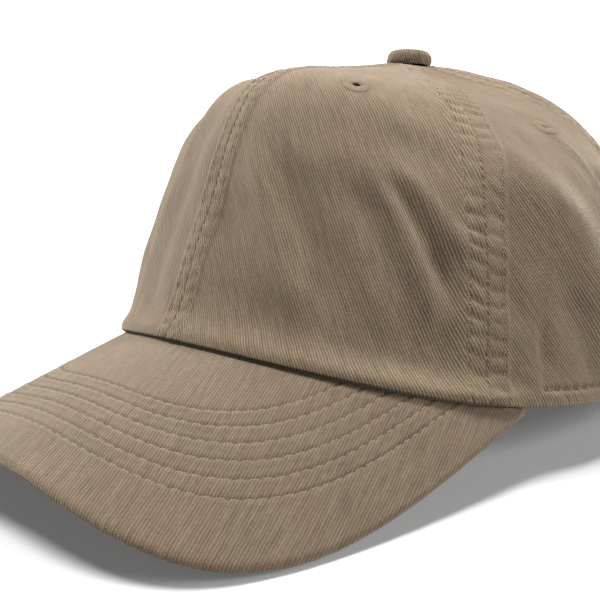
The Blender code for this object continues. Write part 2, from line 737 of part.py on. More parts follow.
# ---------------------------------------------------------------- standing pose
def world_points(collection):
    """Every vertex of the finished pieces, in world space."""
    bpy.context.view_layer.update()
    depsgraph = bpy.context.evaluated_depsgraph_get()
    clouds = []
    for item in collection.objects:
        shape = item.evaluated_get(depsgraph).to_mesh()
        cloud = np.empty(3 * len(shape.vertices))
        shape.vertices.foreach_get("co", cloud)
        matrix = np.array(item.matrix_world)
        clouds.append(cloud.reshape(-1, 3) @ matrix[:3, :3].T + matrix[:3, 3])
        item.evaluated_get(depsgraph).to_mesh_clear()
    return np.concatenate(clouds)


def lean_that_stands(points):
    """The lean at which the bill's side edges and the rear rim are equally low."""
    low, high = 0.0, math.radians(30.0)
    for _ in range(40):
        lean = 0.5 * (low + high)
        height = points[:, 2] * math.cos(lean) - points[:, 1] * math.sin(lean)
        bill_low = height[points[:, 1] < -0.03].min()
        rear_low = height[points[:, 1] > 0.03].min()
        if bill_low < rear_low:
            low = lean
        else:
            high = lean
    return 0.5 * (low + high)


def stand_cap(holder):
    """Lean the cap, then put the centre of its box's base at the world origin."""
    stand = holder["stand"]
    stand.rotation_euler = (-lean_that_stands(world_points(holder["collection"])), 0.0, 0.0)
    points = world_points(holder["collection"])
    low = points.min(axis=0)
    high = points.max(axis=0)
    stand.location = (-(low[0] + high[0]) / 2.0, -(low[1] + high[1]) / 2.0, -low[2])
    bpy.context.view_layer.update()


def main():
    clear_scene()
    holder = {
        "collection": new_collection(COLLECTION),
        "cutters": new_collection("cutters"),
        "stand": bpy.data.objects.new("cap_stand", None),
    }
    bpy.context.scene.collection.objects.link(holder["stand"])
    make_crown(holder)
    for name, seam in tape_names():
        make_tape(name, seam, holder)
    make_sweatband(holder)
    make_care_label(holder)
    make_arch_binding(holder)
    make_bill(holder)
    make_button(holder)
    make_strap(holder)
    make_buckle_frame(holder)
    make_buckle_lever(holder)
    make_buckle_loop(holder)
    stand_cap(holder)


main()
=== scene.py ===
"""The looks of a six-panel washed-twill baseball cap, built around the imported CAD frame.

The CAD is drawn in a sewing frame (rim front at (0, -RIM_FRONT, 0), +Z through the button,
-Y over the bill, +X to the wearer's left) and then leaned back so that it stands on a table.
Every piece here is worked out in that sewing frame with the CAD's own formulas, and placed in
the row frame by the lean, which is read from the strap's joint.
"""
import json
import math

import bpy
import numpy as np
from mathutils import Matrix, Vector


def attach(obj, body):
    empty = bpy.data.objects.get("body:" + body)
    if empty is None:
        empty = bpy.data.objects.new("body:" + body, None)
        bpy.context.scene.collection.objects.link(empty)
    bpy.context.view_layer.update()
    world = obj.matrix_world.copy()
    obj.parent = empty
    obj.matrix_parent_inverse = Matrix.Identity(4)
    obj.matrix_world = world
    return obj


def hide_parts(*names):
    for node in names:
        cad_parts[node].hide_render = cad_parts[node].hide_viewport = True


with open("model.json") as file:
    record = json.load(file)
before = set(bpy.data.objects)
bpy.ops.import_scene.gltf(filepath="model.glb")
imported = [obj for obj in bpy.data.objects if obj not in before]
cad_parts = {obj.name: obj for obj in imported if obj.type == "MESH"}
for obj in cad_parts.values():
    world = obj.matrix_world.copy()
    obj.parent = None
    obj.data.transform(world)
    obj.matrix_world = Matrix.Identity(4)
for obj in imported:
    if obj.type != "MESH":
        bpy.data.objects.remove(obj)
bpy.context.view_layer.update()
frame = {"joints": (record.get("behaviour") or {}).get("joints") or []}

# ---------------------------------------------------------------- the CAD's dimensions, metres
RIM_HALF_WIDTH = 0.0847
RIM_FRONT = 0.1016
RIM_REAR = 0.1039
CROWN_HEIGHT = 0.0897
REAR_RIM_DROP = 0.0187
CLOTH = 0.0007
GAP = 0.0003
APEX_PULL = (0.706, 0.119, 0.020)
APEX_FALL = (0.0102, 0.0128, -0.0092)
APEX_FALL_SOFTNESS = 0.004
RIM_PULL = (0.827, -0.071, -0.110)
RIM_LIFT = (0.899, 0.081, 0.095)
SEAM_ANGLES = tuple(math.radians(degrees) for degrees in (0.0, 61.3, 118.2, 180.0))
APEX_HOLE = 0.0034
BILL_ARCH_RADIUS = 0.103
BILL_PITCH = math.radians(20.4)
BILL_REACH = 0.1292
BILL_HALF_WIDTH = 0.0911
BILL_SIDE_POWER = 2.65
BILL_FRONT_POWER = 3.83
BILL_CORNER_ANGLE = math.radians(68.4)
BILL_TOP_DEPTH = 0.00035
BILL_UNDER_DEPTH = 0.00365
EYELET_SHARE = 0.43
TAPE_WIDTH = 0.016
TAPE_THICKNESS = 0.0005
TAPE_START = 0.0095
TAPE_CLEARANCE = 0.004
TAPE_DEPTH = CLOTH + 2.2 * GAP
SWEATBAND_HEIGHT = 0.032
SWEATBAND_THICKNESS = 0.0009
SWEATBAND_DEPTH = 0.0012
SWEATBAND_FOOT = 0.002
POCKET_DEPTH = 0.0054
POCKET_START_ANGLE = math.radians(104.0)
POCKET_FULL_ANGLE = math.radians(126.0)
ARCH_HALF_WIDTH = 0.034
ARCH_HEIGHT = 0.044
ARCH_LEG = 0.012
ARCH_SPRING = ARCH_LEG - REAR_RIM_DROP
ARCH_CORNER = math.asin(ARCH_HALF_WIDTH / RIM_HALF_WIDTH)
BINDING_WIDTH = 0.009
BINDING_START = math.radians(27.0)
BINDING_EDGE = 0.0006
BINDING_THICKNESS = 0.0008
BINDING_DEPTH = CLOTH + 2.0 * GAP
LABEL_ANGLES = (math.radians(128.0), math.radians(147.0))
LABEL_HEIGHTS = (0.006, 0.028)
LABEL_THICKNESS = 0.0004
STRAP_RADIUS = 0.0741
STRAP_AXIS_Y = 0.0246
STRAP_LEAN = math.radians(11.0)
STRAP_FOOT = 0.0032 - REAR_RIM_DROP
STRAP_WIDTH = 0.020
STRAP_THICKNESS = 0.0012
STRAP_SEWN_END = 0.051
STRAP_TAIL_END = -0.056
STRAP_TAIL = 0.005
BUCKLE_ENDS = (-0.0305, -0.0075)
BUCKLE_WALL = 0.0012
BUCKLE_PLATE = 0.0008
BUCKLE_STEP = 0.0003
BUCKLE_EAR_TOP = 0.0038
SIDE_SLACK = GAP + 0.0002
PIN_PLACE = (-0.0095, 0.0021)
PIN_RADIUS = 0.00075
PIN_HEAD = 0.00025
KNUCKLE_RADIUS = 0.00175
LEVER_END = -0.0255
LEVER_OUT = (0.0024, 0.0034)
LEVER_TIP = 0.0005
LEVER_SLACK = 0.0003
BAR_PLACE = (-0.0295, 0.0024)
BAR_RADIUS = 0.0008
LOOP_PLY = 0.0007
LOOP_END = -0.050
LOOP_SLACK = 0.0006
FULL_TURN = 2.0 * math.pi

# ---------------------------------------------------------------- sewing details, metres
THREAD_RADIUS = 0.00028
STITCH_PITCH = 0.0034
STITCH_LENGTH = 0.0028
STITCH_GIRTH = 0.0013
STITCH_STATIONS = 7
STITCH_SIDES = 6
SEAM_ROW = 0.0050
FRONT_SEAM_ROW = 0.0042
SEAM_DASH = 0.0027
PUCKER_PITCH = 0.0049
HEM_ROW = 0.0052
BILL_FIRST_ROW = 0.01418
BILL_ROW_STEP = 0.004593
BILL_ROWS = 6
BILL_EDGE_RADIUS = 0.0017
BILL_TUCK = 0.004
BILL_TOP_INSET = BILL_TOP_DEPTH - 0.0002
COVER_THICKNESS = 0.0006
BOARD_THICKNESS = 0.0015
PANEL_WIDTH = 0.096
SEAM_OVERLAP = 0.0001
EYELET_CUT = 0.0019
BAND_ROWS = (SWEATBAND_HEIGHT - 0.0040, SWEATBAND_FOOT + 0.0030)
BAND_RADIUS = 0.092
OPENING_ROWS = (0.0016, 0.0068)
OPENING_RADIUS = 0.045
STRAP_ROW = 0.0022

# Camera, in the sewing frame.
CAMERA_AZIMUTH = math.radians(45.642)
CAMERA_ELEVATION = math.radians(6.4805)
CAMERA_ROLL = math.radians(2.260)
CAMERA_DISTANCE = 0.375598
CAMERA_TARGET = (-0.044833, -0.004847, 0.0024257)
CAMERA_LENS = 57.94

TWILL_LIGHT = (0.242, 0.184, 0.125)
TWILL_DARK = (0.055, 0.037, 0.0235)


# ---------------------------------------------------------------- the crown's surface
def half_turn(angle):
    """The same direction, as an angle between minus and plus half a turn."""
    return (angle + math.pi) % FULL_TURN - math.pi


def unit(vectors):
    return vectors / np.linalg.norm(vectors, axis=-1, keepdims=True)


def walk(points):
    """The length from the start of a line of points to each of them."""
    return np.concatenate([[0.0], np.cumsum(np.linalg.norm(np.diff(points, axis=0), axis=1))])


def signed_power(value, exponent):
    return np.sign(value) * np.abs(value) ** exponent


def harmonic(terms, angle):
    return terms[0] + terms[1] * np.cos(angle) + terms[2] * np.cos(2.0 * angle)


def rim_plan(angle):
    depth = np.where(np.cos(angle) > 0.0, RIM_FRONT, RIM_REAR)
    return RIM_HALF_WIDTH * np.sin(angle), -depth * np.cos(angle)


def bill_height(x, y):
    arch = BILL_ARCH_RADIUS - np.sqrt(BILL_ARCH_RADIUS ** 2 - x * x)
    return -arch + (y + RIM_FRONT) * math.tan(BILL_PITCH)


def rim_height(angle):
    """The rim lies on the bill in front, then runs in one smooth sweep to the rear centre."""
    angle = np.abs(half_turn(np.asarray(angle, float)))
    in_front = bill_height(*rim_plan(np.minimum(angle, BILL_CORNER_ANGLE)))
    step = 0.001
    corner = float(bill_height(*rim_plan(BILL_CORNER_ANGLE)))
    before = float(bill_height(*rim_plan(BILL_CORNER_ANGLE - step)))
    sweep = math.pi - BILL_CORNER_ANGLE
    along = np.clip((angle - BILL_CORNER_ANGLE) / sweep, 0.0, 1.0)
    start_value = 2.0 * along ** 3 - 3.0 * along ** 2 + 1.0
    start_slope = along ** 3 - 2.0 * along ** 2 + along
    slope = (corner - before) / step * sweep
    behind = start_value * corner + start_slope * slope - (1.0 - start_value) * REAR_RIM_DROP
    return np.where(angle <= BILL_CORNER_ANGLE, in_front, behind)


def crown_surface(angle, share):
    """The CAD's outer face of the crown: share is 0 at the apex and 1 at the rim."""
    angle, share = np.broadcast_arrays(np.asarray(angle, float), np.asarray(share, float))
    fall = harmonic(APEX_FALL, angle)
    fall = 0.5 * (fall + np.sqrt(fall ** 2 + APEX_FALL_SOFTNESS ** 2))
    rim_x, rim_y = rim_plan(angle)
    rim_z = rim_height(angle)
    apex_handle = 3.0 * share * (1.0 - share) ** 2
    rim_handle = 3.0 * share ** 2 * (1.0 - share)
    reach = apex_handle * harmonic(APEX_PULL, angle) + rim_handle * harmonic(RIM_PULL, angle)
    reach = reach + share ** 3
    lifted = rim_z + harmonic(RIM_LIFT, angle) * (CROWN_HEIGHT - rim_z)
    height = (1.0 - share) ** 3 * CROWN_HEIGHT + apex_handle * (CROWN_HEIGHT - fall)
    height = height + rim_handle * lifted + share ** 3 * rim_z
    return np.stack([reach * rim_x, reach * rim_y, height], -1)


def crown_normal(angle, share):
    step = 0.0005
    share = np.clip(share, 4.0 * step, 1.0 - step)
    round_it = crown_surface(angle + step, share) - crown_surface(angle - step, share)
    down_it = crown_surface(angle, share + step) - crown_surface(angle, share - step)
    return unit(np.cross(down_it, round_it))


def share_at_radius(angle, radius):
    shares = np.linspace(0.0, 0.6, 241)
    points = crown_surface(angle, shares)
    return float(np.interp(radius, np.hypot(points[:, 0], points[:, 1]), shares))


WALK_SHARES = np.linspace(0.0, 1.0, 801)
WALK_LENGTHS = walk(crown_surface(SEAM_ANGLES[1], WALK_SHARES))
MERIDIAN = WALK_LENGTHS[-1]


def above_rim(share):
    """Length of cloth between a share and the rim, on a typical meridian."""
    return MERIDIAN - np.interp(share, WALK_SHARES, WALK_LENGTHS)


def share_above_rim(length):
    return np.interp(MERIDIAN - length, WALK_LENGTHS, WALK_SHARES)


def radius_at(angle, share):
    points = crown_surface(angle, share)
    return np.hypot(points[..., 0], points[..., 1])


# ---------------------------------------------------------------- the bill's surface
def bill_at(across, forward, depth=0.0):
    """A point of the flat bill pattern, bent over the arch, at a depth under its top."""
    turn = np.asarray(across, float) / BILL_ARCH_RADIUS
    forward = np.asarray(forward, float)
    x = BILL_ARCH_RADIUS * np.sin(turn)
    y = -RIM_FRONT - forward * math.cos(BILL_PITCH)
    z = -BILL_ARCH_RADIUS * (1.0 - np.cos(turn)) - forward * math.sin(BILL_PITCH)
    return np.stack([x, y, z], -1) - np.asarray(depth, float)[..., None] * bill_normal(across)


def bill_normal(across):
    turn = np.asarray(across, float) / BILL_ARCH_RADIUS
    return unit(np.stack([
        np.sin(turn) * math.cos(BILL_PITCH),
        -np.cos(turn) * math.sin(BILL_PITCH),
        np.cos(turn) * math.cos(BILL_PITCH),
    ], -1))


def rim_on_pattern(angle):
    rim_x, rim_y = rim_plan(angle)
    across = BILL_ARCH_RADIUS * np.arcsin(rim_x / BILL_ARCH_RADIUS)
    return across, -(rim_y + RIM_FRONT) / math.cos(BILL_PITCH)


BILL_BACK = float(rim_on_pattern(BILL_CORNER_ANGLE)[1])


def bill_edge(turn, inset):
    """A line at an inset from the bill's edge; turn runs from 0 to pi, left to right."""
    side = signed_power(np.cos(turn), 2.0 / BILL_SIDE_POWER)
    front = np.abs(np.sin(turn)) ** (2.0 / BILL_FRONT_POWER)
    return (BILL_HALF_WIDTH - inset) * side, BILL_BACK + (BILL_REACH - inset) * front


def bill_inset(across, forward):
    """How far inside the bill's edge a pattern point is, by halving the range."""
    low = np.zeros(np.shape(across))
    high = np.full(np.shape(across), 0.088)
    ahead = np.maximum(forward - BILL_BACK, 0.0)
    for _ in range(26):
        middle = 0.5 * (low + high)
        side = (np.abs(across) / (BILL_HALF_WIDTH - middle)) ** BILL_SIDE_POWER
        front = (ahead / (BILL_REACH - middle)) ** BILL_FRONT_POWER
        outside = side + front > 1.0
        high = np.where(outside, middle, high)
        low = np.where(outside, low, middle)
    return 0.5 * (low + high)


# ---------------------------------------------------------------- the rear closure's cone
def closure_at(along, out, up):
    """A point of the closure: along the strap's arc, out from its outer face, up its width."""
    turn = np.asarray(along, float) / STRAP_RADIUS
    out = np.asarray(out, float)
    up = np.asarray(up, float)
    radius = STRAP_RADIUS + out * math.cos(STRAP_LEAN) - up * math.sin(STRAP_LEAN)
    rise = up * math.cos(STRAP_LEAN) + out * math.sin(STRAP_LEAN)
    points = radius * np.sin(turn), STRAP_AXIS_Y + radius * np.cos(turn), STRAP_FOOT + rise
    return np.stack(np.broadcast_arrays(*points), -1)


# ---------------------------------------------------------------- sewing frame to row frame
def standing_matrix():
    """The lean and place of the standing cap, from the strap's joint."""
    joint = next(item for item in frame["joints"] if item["name"] == "strap_slide")
    axis = Vector(joint["axis"])
    turn = Matrix.Rotation(-math.atan2(axis.y, axis.z), 4, "X")
    centre = Vector((0.0, STRAP_AXIS_Y, STRAP_FOOT))
    return Matrix.Translation(Vector(joint["pos_m"]) - turn @ centre) @ turn


STAND = standing_matrix()


# ---------------------------------------------------------------- numbers that vary smoothly
def noise(x, y, seed, wrap=64):
    """Smooth noise from -1 to 1 on a seeded lattice that repeats every wrap cells in x."""
    table = np.random.default_rng(seed).uniform(-1.0, 1.0, (wrap, 64))
    x, y = np.broadcast_arrays(np.asarray(x, float), np.asarray(y, float))
    left = np.floor(x).astype(int)
    low = np.floor(y).astype(int)
    part_x = ease(x - left, 0.0, 1.0)
    part_y = ease(y - low, 0.0, 1.0)
    columns = ((left % wrap, 1.0 - part_x), ((left + 1) % wrap, part_x))
    rows = [sum(table[column, row % 64] * part for column, part in columns)
            for row in (low, low + 1)]
    return rows[0] * (1.0 - part_y) + rows[1] * part_y


def ease(value, start, end):
    """0 before start, 1 after end, smooth between; start may be above end."""
    share = np.clip((value - start) / (end - start), 0.0, 1.0)
    return share * share * (3.0 - 2.0 * share)


def bump(value, width):
    return np.exp(-(value / width) ** 2)


# ---------------------------------------------------------------- relief of the crown's cloth
# Soft folds, each from (angle in degrees, share) to (angle, share), with width and height in
# millimetres. They follow how the washed, unstructured crown sags between its seams.
FOLDS = (
    (12, 0.76, 27, 0.94, 4.4, 1.4),
    (5, 0.84, 21, 0.96, 5.0, -1.0),
    (19, 0.745, 32, 0.93, 4.2, -1.2),
    (2, 0.957, 33, 0.960, 5.0, -0.8),
    (26, 0.957, 60, 0.957, 5.0, -0.8),
    (42, 0.755, 51.5, 0.895, 2.8, 1.3),
    (44.5, 0.745, 54.5, 0.87, 2.6, -1.2),
    (46, 0.705, 56, 0.80, 3.2, 1.1),
    (38, 0.775, 49, 0.945, 4.4, -1.4),
    (52.8, 0.84, 54, 0.93, 3.8, -1.3),
    (30, 0.86, 41, 0.95, 5.0, -0.7),
    (26, 0.72, 40, 0.715, 9.0, 0.8),
    (44, 0.615, 52, 0.63, 7.0, -0.8),
    (65, 0.66, 78, 0.69, 8.0, 0.8),
    (68, 0.58, 90, 0.84, 9.0, 1.9),
    (64, 0.74, 76, 0.90, 6.5, -0.7),
    (65, 0.85, 73, 0.94, 4.0, -1.2),
    (69.5, 0.90, 72, 0.97, 4.5, 1.0),
    (79, 0.86, 84, 0.95, 4.5, -1.1),
    (86, 0.84, 92, 0.95, 4.5, 1.3),
    (73, 0.91, 72.5, 0.975, 2.0, -0.8),
    (-12, 0.50, -13, 0.95, 4.0, -0.4),
    (-20, 0.45, -21, 0.96, 4.5, 0.6),
    (-29, 0.50, -29, 0.94, 4.5, -0.6),
    (-40, 0.55, -36, 0.93, 6.0, 0.8),
    (-50, 0.70, -44, 0.92, 5.0, -1.6),
    (-72, 0.56, -90, 0.79, 7.0, 2.2),
    (-66, 0.84, -76, 0.96, 4.5, -1.6),
    (-98, 0.62, -90, 0.86, 6.0, -1.5),
    (89, 0.44, 97, 0.64, 3.0, 0.9),
    (101, 0.60, 112, 0.84, 6.0, -1.3),
    (96, 0.82, 110, 0.94, 5.0, 1.2),
    (128, 0.58, 142, 0.74, 6.0, -1.4),
    (-104, 0.62, -114, 0.86, 5.5, 1.4),
    (-126, 0.55, -140, 0.72, 7.0, -1.6),
    (150, 0.46, 164, 0.60, 6.0, 1.3),
    (-150, 0.55, -166, 0.62, 6.0, 1.2),
)
FOLD_REACH = (0.080, 0.150)
FOLD_SCALE = 1.35


def fold_relief(angle, share):
    """Sum of the soft folds at a point of the crown."""
    total = np.zeros(np.broadcast(angle, share).shape)
    for start_angle, start, end_angle, end, width, height in FOLDS:
        run = np.array([math.radians(end_angle - start_angle), end - start]) * FOLD_REACH
        turn = half_turn(angle - math.radians(start_angle))
        across = turn * FOLD_REACH[0]
        down = (share - start) * FOLD_REACH[1]
        length = math.hypot(*run)
        along = (across * run[0] + down * run[1]) / length
        beside = (across * run[1] - down * run[0]) / length
        past = along - np.clip(along, 0.12 * length, 0.88 * length)
        taper = bump(past, 0.0012 * width + 0.12 * length)
        total = total + 0.001 * FOLD_SCALE * height * bump(beside, 0.001 * width) * taper
    return total


ALL_SEAMS = tuple(-angle for angle in SEAM_ANGLES[2:0:-1]) + SEAM_ANGLES


def seam_row(seam):
    return FRONT_SEAM_ROW if seam == 0.0 else SEAM_ROW


def seam_shape(across, above, row, seed):
    """Relief and painted shade beside a seam: its line, its stitch rows and the pillows between."""
    beside = np.abs(across)
    side = np.where(across < 0.0, 31.0, 0.0)
    raised = 0.00050 * ease(beside, row + 0.0024, row + 0.0006)
    dash = 0.50 - 0.50 * np.cos(FULL_TURN * above / SEAM_DASH)
    seam_line = -0.00042 * bump(across, 0.00045) * (0.30 + 0.70 * dash)
    pull = 0.5 - 0.5 * np.cos(FULL_TURN * above / STITCH_PITCH)
    rows = -0.00045 * bump(beside - row, 0.00055) * (0.15 + 0.85 * pull)
    band = ease(beside, row + 0.0012, row - 0.0010) * ease(beside, -0.0006, 0.0016)
    lean = above - 0.10 * beside * np.where(across < 0.0, 1.0, -1.0)
    phase = lean / PUCKER_PITCH + 0.4 * noise(above / 0.010 + side, beside / 0.009, seed)
    strength = 0.80 + 0.80 * noise(above / 0.012 + side, 0.5, seed + 1)
    strength = np.clip(strength, 0.15, 1.3) * (1.0 - 0.65 * ease(above, 0.085, 0.120))
    strength = strength * (row / SEAM_ROW) ** 2 * (1.0 - 0.7 * bump(above - 0.064, 0.009))
    valley = np.abs(np.cos(math.pi * phase)) ** 4
    puckers = 0.00030 * band * (0.5 - 2.0 * valley) * strength
    lumps = 0.00008 * band * noise(above / 0.0034 + side, across / 0.0028, seed + 2)
    # Painted shade: dark dashes along the seam line, in the valleys between the pillows and at the
    # stitch holes.
    dark = 1.1 * bump(across, 0.00036) * dash + 0.30 * band * valley * strength
    dark = dark + 0.8 * bump(beside - row, 0.00040) * ease(pull, 0.45, 0.15)
    return raised + seam_line + rows + puckers + lumps, dark


def hem_relief(angle, above):
    """The rolled lower edge, which bulges over the bill, and the hem's band behind it."""
    turn = np.abs(half_turn(angle))
    behind = ease(turn, BILL_CORNER_ANGLE + 0.05, BILL_CORNER_ANGLE + 0.08)
    aside = ease(turn, 0.22, 0.85)
    free = ease(turn, BILL_CORNER_ANGLE - 0.07, BILL_CORNER_ANGLE)
    bulge = 0.0006 + 0.0011 * aside - 0.0008 * free
    tuck = 0.0028 + 0.0006 * aside - 0.0026 * free
    gap = 0.0002 + 0.0003 * aside * (1.0 - free)
    relief = bulge * bump(above - 0.0030, 0.0032) - tuck * ease(above, gap + 0.0009, gap - 0.0003)
    pull = 0.65 - 0.35 * np.cos(FULL_TURN * turn * RIM_HALF_WIDTH / STITCH_PITCH)
    row = -0.00150 * bump(above - HEM_ROW, 0.0008) * pull
    row = row + 0.00050 * ease(above, HEM_ROW + 0.0004, HEM_ROW - 0.0008)
    wave = noise(turn * 24.0, 0.3, 41) * 0.9
    puckers = 0.00014 * np.cos(FULL_TURN * (turn * 24.0 + 0.45 * above / 0.003 + wave))
    band = ease(above, HEM_ROW + 0.0015, HEM_ROW - 0.001) * ease(above, 0.0, 0.0015)
    return relief + behind * (row + puckers * band)


def arch_gap(points):
    """Distance outside the rear opening, measured on the view from behind."""
    x = np.abs(points[..., 0])
    rise = ARCH_HEIGHT - ARCH_LEG
    up = np.maximum(points[..., 2] - ARCH_SPRING, 0.0)
    scaled = np.sqrt((x / ARCH_HALF_WIDTH) ** 2 + (up / rise) ** 2)
    return (scaled - 1.0) * 0.5 * (ARCH_HALF_WIDTH + rise)


def eyelet_angles():
    middles = [0.5 * (first + last) for first, last in zip(SEAM_ANGLES[:-1], SEAM_ANGLES[1:])]
    return [-angle for angle in middles] + middles


def eyelet_distance(points, angle):
    return np.linalg.norm(points - crown_surface(angle, EYELET_SHARE), axis=-1)


def soft_relief(angle, share):
    """The crown's slow waves and folds, which its lining follows too."""
    turns = angle / FULL_TURN
    above = above_rim(share)
    calm = ease(above, 0.0, 0.010) * ease(share, 0.10, 0.25)
    behind = np.abs(half_turn(angle))
    calm = calm * (1.0 - 0.85 * ease(behind, 1.85, 2.25) * ease(above, 0.060, 0.036))
    waves = 0.0009 * noise(turns * 14.0, above / 0.036, 3, 14)
    crumple = 0.00040 * noise(turns * 44.0 + above / 0.026, above / 0.013, 5, 44)
    crumple = crumple + 0.00016 * noise(turns * 64.0, above / 0.007, 6, 64)
    radius = radius_at(angle, share)
    fall = CROWN_HEIGHT - crown_surface(angle, share)[..., 2]
    gather = 0.75 * fall * bump(radius, 0.0135)
    return (waves + crumple + fold_relief(angle, share)) * calm + gather


def all_seams(angle, share):
    """Relief and painted shade of every seam at a point of the crown."""
    radius = radius_at(angle, share)
    above = above_rim(share)
    near_apex = ease(radius, 0.006, 0.015)
    relief, painted_seam_shade = 0.0, 0.0
    for index, seam in enumerate(ALL_SEAMS):
        across = radius * half_turn(angle - seam)
        height, dark = seam_shape(across, above, seam_row(seam), 50 + 7 * index)
        relief = relief + height * near_apex
        painted_seam_shade = painted_seam_shade + dark * near_apex
    return relief, painted_seam_shade


def fine_relief(angle, share):
    """Seams, hem, rear opening's edge and the dimples round the eyelets."""
    points = crown_surface(angle, share)
    total = hem_relief(angle, above_rim(share)) + all_seams(angle, share)[0]
    rear = ease(np.cos(angle), -0.3, -0.6)
    edge = arch_gap(points)
    total = total - rear * 0.0005 * bump(edge, 0.0009)
    total = total - rear * 0.0003 * bump(edge - 0.0065, 0.0006)
    for middle in eyelet_angles():
        away = eyelet_distance(points, middle)
        swirl = noise(6.0 * np.arctan2(points[..., 2], points[..., 0]), 0.5, 77)
        total = total - 0.00035 * bump(away, 0.0055) * (1.0 + 0.4 * swirl)
    return total


def crown_lining(angle, share, depth):
    """A point at a depth inside the crown, which follows its folds but not its seams."""
    angle, share = np.broadcast_arrays(np.asarray(angle, float), np.asarray(share, float))
    lift = soft_relief(angle, share) - depth
    return crown_surface(angle, share) + lift[..., None] * crown_normal(angle, share)


def crown_cloth(angle, share):
    """A point of the finished crown's outer face."""
    return crown_lining(angle, share, -fine_relief(angle, share))


# ---------------------------------------------------------------- meshes
def grid_faces(rows, columns, flip=False, closed=False):
    """Quads over a grid of points, whose outer side is that of rows x columns."""
    index = np.arange(rows * columns).reshape(rows, columns)
    if closed:
        index = np.concatenate([index, index[:, :1]], axis=1)
    corners = [index[:-1, :-1], index[1:, :-1], index[1:, 1:], index[:-1, 1:]]
    faces = np.stack(corners, -1).reshape(-1, 4)
    return faces[:, ::-1] if flip else faces


def add_piece(name, points, faces, look, uv=(0.0, 0.0), wear_and_painted_shading=0.5):
    """A mesh piece in the row frame, with its UV map in metres and its wear and painted shading per
    point.
    """
    mesh = bpy.data.meshes.new(name)
    shape = np.shape(points)[:-1]
    placed = np.reshape(points, (-1, 3)) @ np.array(STAND.to_3x3()).T + np.array(STAND.translation)
    faces = faces.tolist() if isinstance(faces, np.ndarray) else faces
    mesh.from_pydata(placed.tolist(), [], faces)
    corners = np.empty(len(mesh.loops), dtype=np.int32)
    mesh.loops.foreach_get("vertex_index", corners)
    flat = np.stack([np.broadcast_to(part, shape).reshape(-1) for part in uv], -1)
    mesh.uv_layers.new(name="UVMap").data.foreach_set("uv", flat[corners].ravel())
    level = np.broadcast_to(wear_and_painted_shading, shape).reshape(-1).astype(np.float32)
    mesh.attributes.new("wear_and_painted_shading", "FLOAT", "POINT").data.foreach_set("value", level)
    mesh.shade_smooth()
    mesh.materials.append(look)
    piece = bpy.data.objects.new(name, mesh)
    bpy.context.scene.collection.objects.link(piece)
    return piece


def hand_over(piece, body, slot, *nodes):
    """What the piece rides on and which CAD nodes it stands for; slot, the finish it was to take,
    is not used.
    """
    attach(piece, body)
    if nodes:
        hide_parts(*nodes)


def sheet(name, points, look, uv, wear_and_painted_shading, thickness, slot, node, offset=-1.0, flip=False, keep=None):
    """A grid of points as one thick sheet on the cap; keep says which of its faces stay."""
    faces = grid_faces(*points.shape[:2], flip=flip)
    piece = add_piece(name, points, faces if keep is None else faces[keep], look, uv, wear_and_painted_shading)
    modifier = piece.modifiers.new("thickness", "SOLIDIFY")
    modifier.thickness = thickness
    modifier.offset = offset
    modifier.use_even_offset = False
    hand_over(piece, "cap", slot, node)


def stitch_rings(route, starts, length, radius, seed):
    """Rings of points for each stitch of a row. route(place) gives points and normals."""
    random = np.random.default_rng(seed)
    share = np.linspace(0.0, 1.0, STITCH_STATIONS)
    jitter = random.uniform(-0.06, 0.06, (len(starts), 2)) * length
    places = starts[:, None] + jitter[:, :1] + (length + jitter[:, 1:]) * share[None]
    points, normals = route(places)
    forward = unit(np.gradient(points, axis=1))
    sideways = unit(np.cross(normals, forward))
    arc = np.sin(math.pi * share) ** 0.55
    lift = radius * (1.25 * arc - 0.95)
    drift = random.uniform(-0.35, 0.35, (len(starts), 1)) * radius * arc[None]
    centres = points + lift[None, :, None] * normals + drift[..., None] * sideways
    swell = radius * (0.55 + 0.45 * arc)
    turn = np.arange(STITCH_SIDES) * FULL_TURN / STITCH_SIDES
    turn = turn[:, None, None, None]
    ring = np.cos(turn) * sideways + np.sin(turn) * normals
    rings = centres[None] + swell[None, None, :, None] * ring
    return np.moveaxis(rings, 0, 2)


def stitching(name, rows, look, body="cap", slot="embroidery"):
    """One piece from many stitched rows: (route, starts, length, seed) for each row."""
    clouds = [stitch_rings(route, starts, length, THREAD_RADIUS, seed).reshape(-1, 3)
              for route, starts, length, seed in rows]
    points = np.concatenate(clouds)
    per_stitch = STITCH_STATIONS * STITCH_SIDES
    count = len(points) // per_stitch
    tube = grid_faces(STITCH_STATIONS, STITCH_SIDES, closed=True, flip=True)
    offsets = np.arange(count)[:, None, None] * per_stitch
    faces = (tube[None] + offsets).reshape(-1, 4).tolist()
    first = np.arange(STITCH_SIDES)
    last = first + per_stitch - STITCH_SIDES
    for number in range(count):
        base = number * per_stitch
        faces.append((first[::-1] + base).tolist())
        faces.append((last + base).tolist())
    station = np.repeat(np.linspace(0.0, STITCH_LENGTH, STITCH_STATIONS), STITCH_SIDES)
    side = np.tile(np.arange(STITCH_SIDES) / STITCH_SIDES * STITCH_GIRTH, STITCH_STATIONS)
    uv = np.tile(station, count), np.tile(side, count)
    hand_over(add_piece(name, points, faces, look, uv), body, slot)


# ---------------------------------------------------------------- material nodes
class Value:
    """A number in a shader, which takes part in sums as a Python number does."""

    def __init__(self, nodes, socket):
        self.nodes = nodes
        self.socket = socket

    def __add__(self, other):
        return self.nodes.math("ADD", self, other)

    def __sub__(self, other):
        return self.nodes.math("SUBTRACT", self, other)

    def __mul__(self, other):
        return self.nodes.math("MULTIPLY", self, other)

    def __pow__(self, other):
        return self.nodes.math("POWER", self, other)

    __radd__ = __add__
    __rmul__ = __mul__


